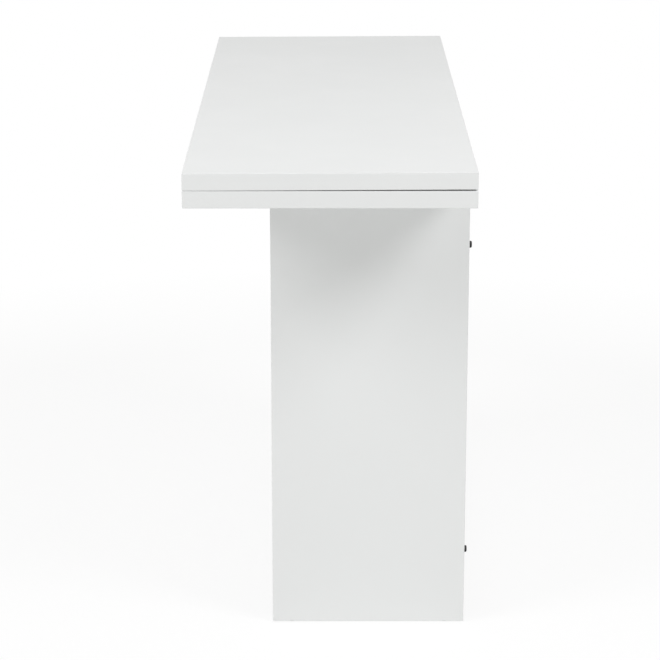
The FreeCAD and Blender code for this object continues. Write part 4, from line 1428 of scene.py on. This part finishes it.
def glide(given, name):
    """A tapered glide that stands on Z 0, with a gate mark below and its nail's socket above."""
    size = node_size(name)
    wide = size.x / 2
    narrow = wide - given.glide_taper
    nail = given.nail_radius + given.nail_play
    gate = 1.5 * given.nail_radius
    dent = given.edge_softening
    floor = size.z - given.nail_head
    wall = [(gate + dent, 0.0), (narrow, 0.0), (wide, size.z), (nail, size.z)]
    section = [(0.0, dent), (gate, dent), *eased(wall, 3 * given.edge_softening)]
    return turned([*section, (nail, floor), (0.0, floor)], steps=64)


def glide_nail(given, end):
    """A ring shank nail, from its head at Z 0 up to its point."""
    radius = given.nail_radius
    shank = NAIL_SHANK * radius
    points = [(0.0, 0.0), (radius, 0.0), (radius, given.nail_head), (shank, given.nail_head)]
    for height in levels(given.nail_head, end - 3 * radius, radius)[1:]:
        points += [(shank, height - radius / 3), (shank * NAIL_RING, height)]
    return turned([*points, (0.0, end)], steps=20)


def wall_bumper(given, name):
    """A moulded stub with its foot at Z 0 and its rounded and dished face up."""
    radius = given.bumper_radius
    height = node_size(name).x
    foot = BUMPER_FOOT * height
    waist = BUMPER_WAIST * radius
    face = BUMPER_FACE * radius
    dish = BUMPER_DISH * height
    bend = waist - face
    sole = [(radius - foot / 2, 0.0), (radius, foot / 2), (radius, foot)]
    side = eased([*sole, (waist, foot * 1.4), (waist, height - bend)], foot / 4)
    dome = arc((face, height - bend), bend, 0.0, QUARTER, 12)[1:]
    middle = [(face * out, height - dish * down) for out, down in BUMPER_MIDDLE]
    return turned([(0.0, 0.0), *side, *dome, *middle], steps=72)


def felt_pad(given, radius, thickness, seed):
    """A die cut felt disc from Z 0, with a frayed edge and an uneven face."""
    edge = radius - given.felt_fray

    def uneven(reach, angle, height, depth):
        point = Vector((reach * math.cos(angle), reach * math.sin(angle), height + seed))
        point /= given.felt_tuft
        coarse = noise.noise(point * FELT_COARSE)
        return depth * coarse + depth * FELT_FINE * noise.noise(point)

    def section(angle):
        points = [(0.0, 0.0)]
        for up, out in FELT_SIDE:
            reach = edge * out
            height = thickness * up
            points.append((reach + uneven(reach, angle, height, given.felt_fray), height))
        for out in FELT_FACE:
            crown = thickness * (1.0 - FELT_DROP * out**6)
            sunk = abs(uneven(edge * out, angle, 1.0, given.felt_fray * 0.3))
            points.append((edge * out, crown - sunk))
        return [*points, (0.0, thickness)]

    return turned(section, steps=96)


class TABLE_OT_glides(bpy.types.Operator):
    """Turn the four glides and their nails"""

    bl_idname = "table.glides"
    bl_label = "Glides"

    def execute(self, context):
        given = hardware()
        for node in names_ending("_glide"):
            places = [standing(*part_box(node))]
            fit(node, f"turned_{node}", glide(given, node), places, moulded_nylon())
        places = [standing(low, high) for low, high in solid_boxes("glide_nails")]
        shape = glide_nail(given, node_size("glide_nails").z)
        fit("glide_nails", "ring_shank_nails", shape, places, plated_zinc())
        return {"FINISHED"}


class TABLE_OT_soft_trim(bpy.types.Operator):
    """Mould the wall bumpers and cut the felt slide pads"""

    bl_idname = "table.soft_trim"
    bl_label = "Bumpers and pads"

    def execute(self, context):
        given = hardware()
        looks = {"rough": 0.62, "grain": 0.5 * MM, "grain_depth": 0.02 * MM}
        rubber = moulded_material("rubber", given.rubber, **looks)
        for node in names_ending("_bumper"):
            low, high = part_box(node)
            foot = Vector((low.x, (low.y + high.y) / 2, (low.z + high.z) / 2))
            place = Matrix.Translation(foot) @ Matrix.Rotation(QUARTER, 4, "Y")
            fit(node, f"moulded_{node}", wall_bumper(given, node), [place], rubber)
        pads = []
        for seed, (low, high) in enumerate(solid_boxes("slide_pads")):
            shape = felt_pad(given, (high.x - low.x) / 2, high.z - low.z, seed)
            pads.append((make_piece(f"pad_{seed}", shape), [standing(low, high)]))
        finish_piece(gather("felt_slide_pads", pads), "slide_pads", felt_material())
        return {"FINISHED"}


# --- stage -------------------------------------------------------------------------------------

WHITE = (1.0, 1.0, 1.0, 1.0)


def seen_rays(tree):
    """1 for rays that see the background: straight, mirrored or through glass."""
    path = put(tree, "LightPath").outputs
    mirrored = calc(tree, "MAXIMUM", path["Is Glossy Ray"], path["Is Transmission Ray"])
    return calc(tree, "MAXIMUM", path["Is Camera Ray"], mirrored)


def show(tree, kind, factor, first, second):
    """Send a mix of two shaders to the output of a material or a world."""
    mixed = put(tree, "MixShader", {0: factor, 1: first.outputs[0], 2: second.outputs[0]})
    put(tree, f"Output{kind}", {"Surface": mixed.outputs[0]})


def make_floor(given):
    half = given.floor_size / 2
    shape = bmesh.new()
    corners = [(-half, -half), (half, -half), (half, half), (-half, half)]
    shape.faces.new([shape.verts.new((x, y, 0.0)) for x, y in corners])
    floor = stand("floor", shape)
    material = bpy.data.materials.new("pale_floor")
    material.use_nodes = True
    tree = material.node_tree
    tree.nodes.clear()
    seen = seen_rays(tree)
    pale = mix_colours(tree, seen, tone(given.floor_colour), WHITE)
    lit = put(tree, "BsdfDiffuse", {"Color": pale})
    glow = put(tree, "Emission", {"Color": WHITE, "Strength": 1.0})
    away = vector_calc(tree, "LENGTH", put(tree, "TexCoord").outputs["Object"])["Value"]
    white = spread(tree, away, given.shadow_reach, given.shadow_end, given.floor_glow, 1.0)
    show(tree, "Material", calc(tree, "MULTIPLY", seen, white), lit, glow)
    paint(floor, material)


def make_sky(given):
    world = bpy.data.worlds.new("pale_room")
    bpy.context.scene.world = world
    world.use_nodes = True
    tree = world.node_tree
    tree.nodes.clear()
    values = {"Color": tone(given.sky_colour), "Strength": given.sky_level}
    light = put(tree, "Background", values)
    white = put(tree, "Background", {"Color": WHITE, "Strength": 1.0})
    show(tree, "World", seen_rays(tree), light, white)


def make_lamps(given):
    """Two softboxes, left and right of the camera, aimed at the near end of the top."""
    low, high = CAD_BOX
    aim = Vector((0.0, low.y, high.z))
    for side, sign in (("left", -1.0), ("right", 1.0)):
        azimuth = sign * getattr(given, f"{side}_azimuth")
        height = getattr(given, f"{side}_height")
        level = Vector((math.sin(azimuth), -math.cos(azimuth), 0.0)) * math.cos(height)
        toward = level + Vector((0.0, 0.0, math.sin(height)))
        data = bpy.data.lights.new(f"{side}_softbox", "AREA")
        data.shape = "SQUARE"
        data.size = getattr(given, f"{side}_size")
        data.energy = getattr(given, f"{side}_power")
        data.color = given.lamp_colour
        lamp = bpy.data.objects.new(f"{side}_softbox", data)
        lamp.location = aim + toward * getattr(given, f"{side}_distance")
        lamp.rotation_euler = (-toward).to_track_quat("-Z", "Y").to_euler()
        bpy.context.scene.collection.objects.link(lamp)


def make_camera(given):
    data = bpy.data.cameras.new("camera")
    data.lens = given.focal_length
    data.dof.use_dof = False
    camera = bpy.data.objects.new("camera", data)
    camera.location = given.camera_place
    camera.rotation_euler = Euler((QUARTER - given.camera_pitch, 0.0, -given.camera_yaw), "XYZ")
    bpy.context.scene.collection.objects.link(camera)
    bpy.context.scene.camera = camera


class TABLE_OT_stage(bpy.types.Operator):
    """Lay the floor, hang the lamps and set the camera"""

    bl_idname = "table.stage"
    bl_label = "Stage"

    def execute(self, context):
        given = context.scene.table_stage
        make_floor(given)
        make_sky(given)
        make_lamps(given)
        make_camera(given)
        context.scene.view_settings.view_transform = "Standard"
        return {"FINISHED"}


# --- the add-on --------------------------------------------------------------------------------

OPERATORS = (
    TABLE_OT_boards,
    TABLE_OT_bands,
    TABLE_OT_hinges,
    TABLE_OT_swivel,
    TABLE_OT_joints,
    TABLE_OT_glides,
    TABLE_OT_soft_trim,
    TABLE_OT_stage,
)
GROUPS = {
    "table_boards": TABLE_PG_boards,
    "table_hardware": TABLE_PG_hardware,
    "table_hinges": TABLE_PG_hinges,
    "table_stage": TABLE_PG_stage,
}


class TABLE_PT_looks(bpy.types.Panel):
    """Lists the table's finishing steps and their values"""

    bl_idname = "TABLE_PT_looks"
    bl_label = "Swivel extending table"
    bl_space_type = "VIEW_3D"
    bl_region_type = "UI"
    bl_category = "Table"

    def draw(self, context):
        for operator in OPERATORS:
            self.layout.operator(operator.bl_idname)
        for name, group in GROUPS.items():
            section = self.layout.box()
            section.label(text=group.__doc__)
            for key in group.__annotations__:
                section.prop(getattr(context.scene, name), key)


def register():
    for name, group in GROUPS.items():
        bpy.utils.register_class(group)
        setattr(bpy.types.Scene, name, PointerProperty(type=group))
    for cls in (*OPERATORS, TABLE_PT_looks):
        bpy.utils.register_class(cls)


def unregister():
    for cls in (TABLE_PT_looks, *reversed(OPERATORS)):
        bpy.utils.unregister_class(cls)
    for name, group in GROUPS.items():
        delattr(bpy.types.Scene, name)
        bpy.utils.unregister_class(group)


def main():
    register()
    bpy.ops.table.boards()
    bpy.ops.table.bands()
    bpy.ops.table.hinges()
    bpy.ops.table.swivel()
    bpy.ops.table.joints()
    bpy.ops.table.glides()
    bpy.ops.table.soft_trim()
    bpy.ops.table.stage()


if __name__ == "__main__":
    main()
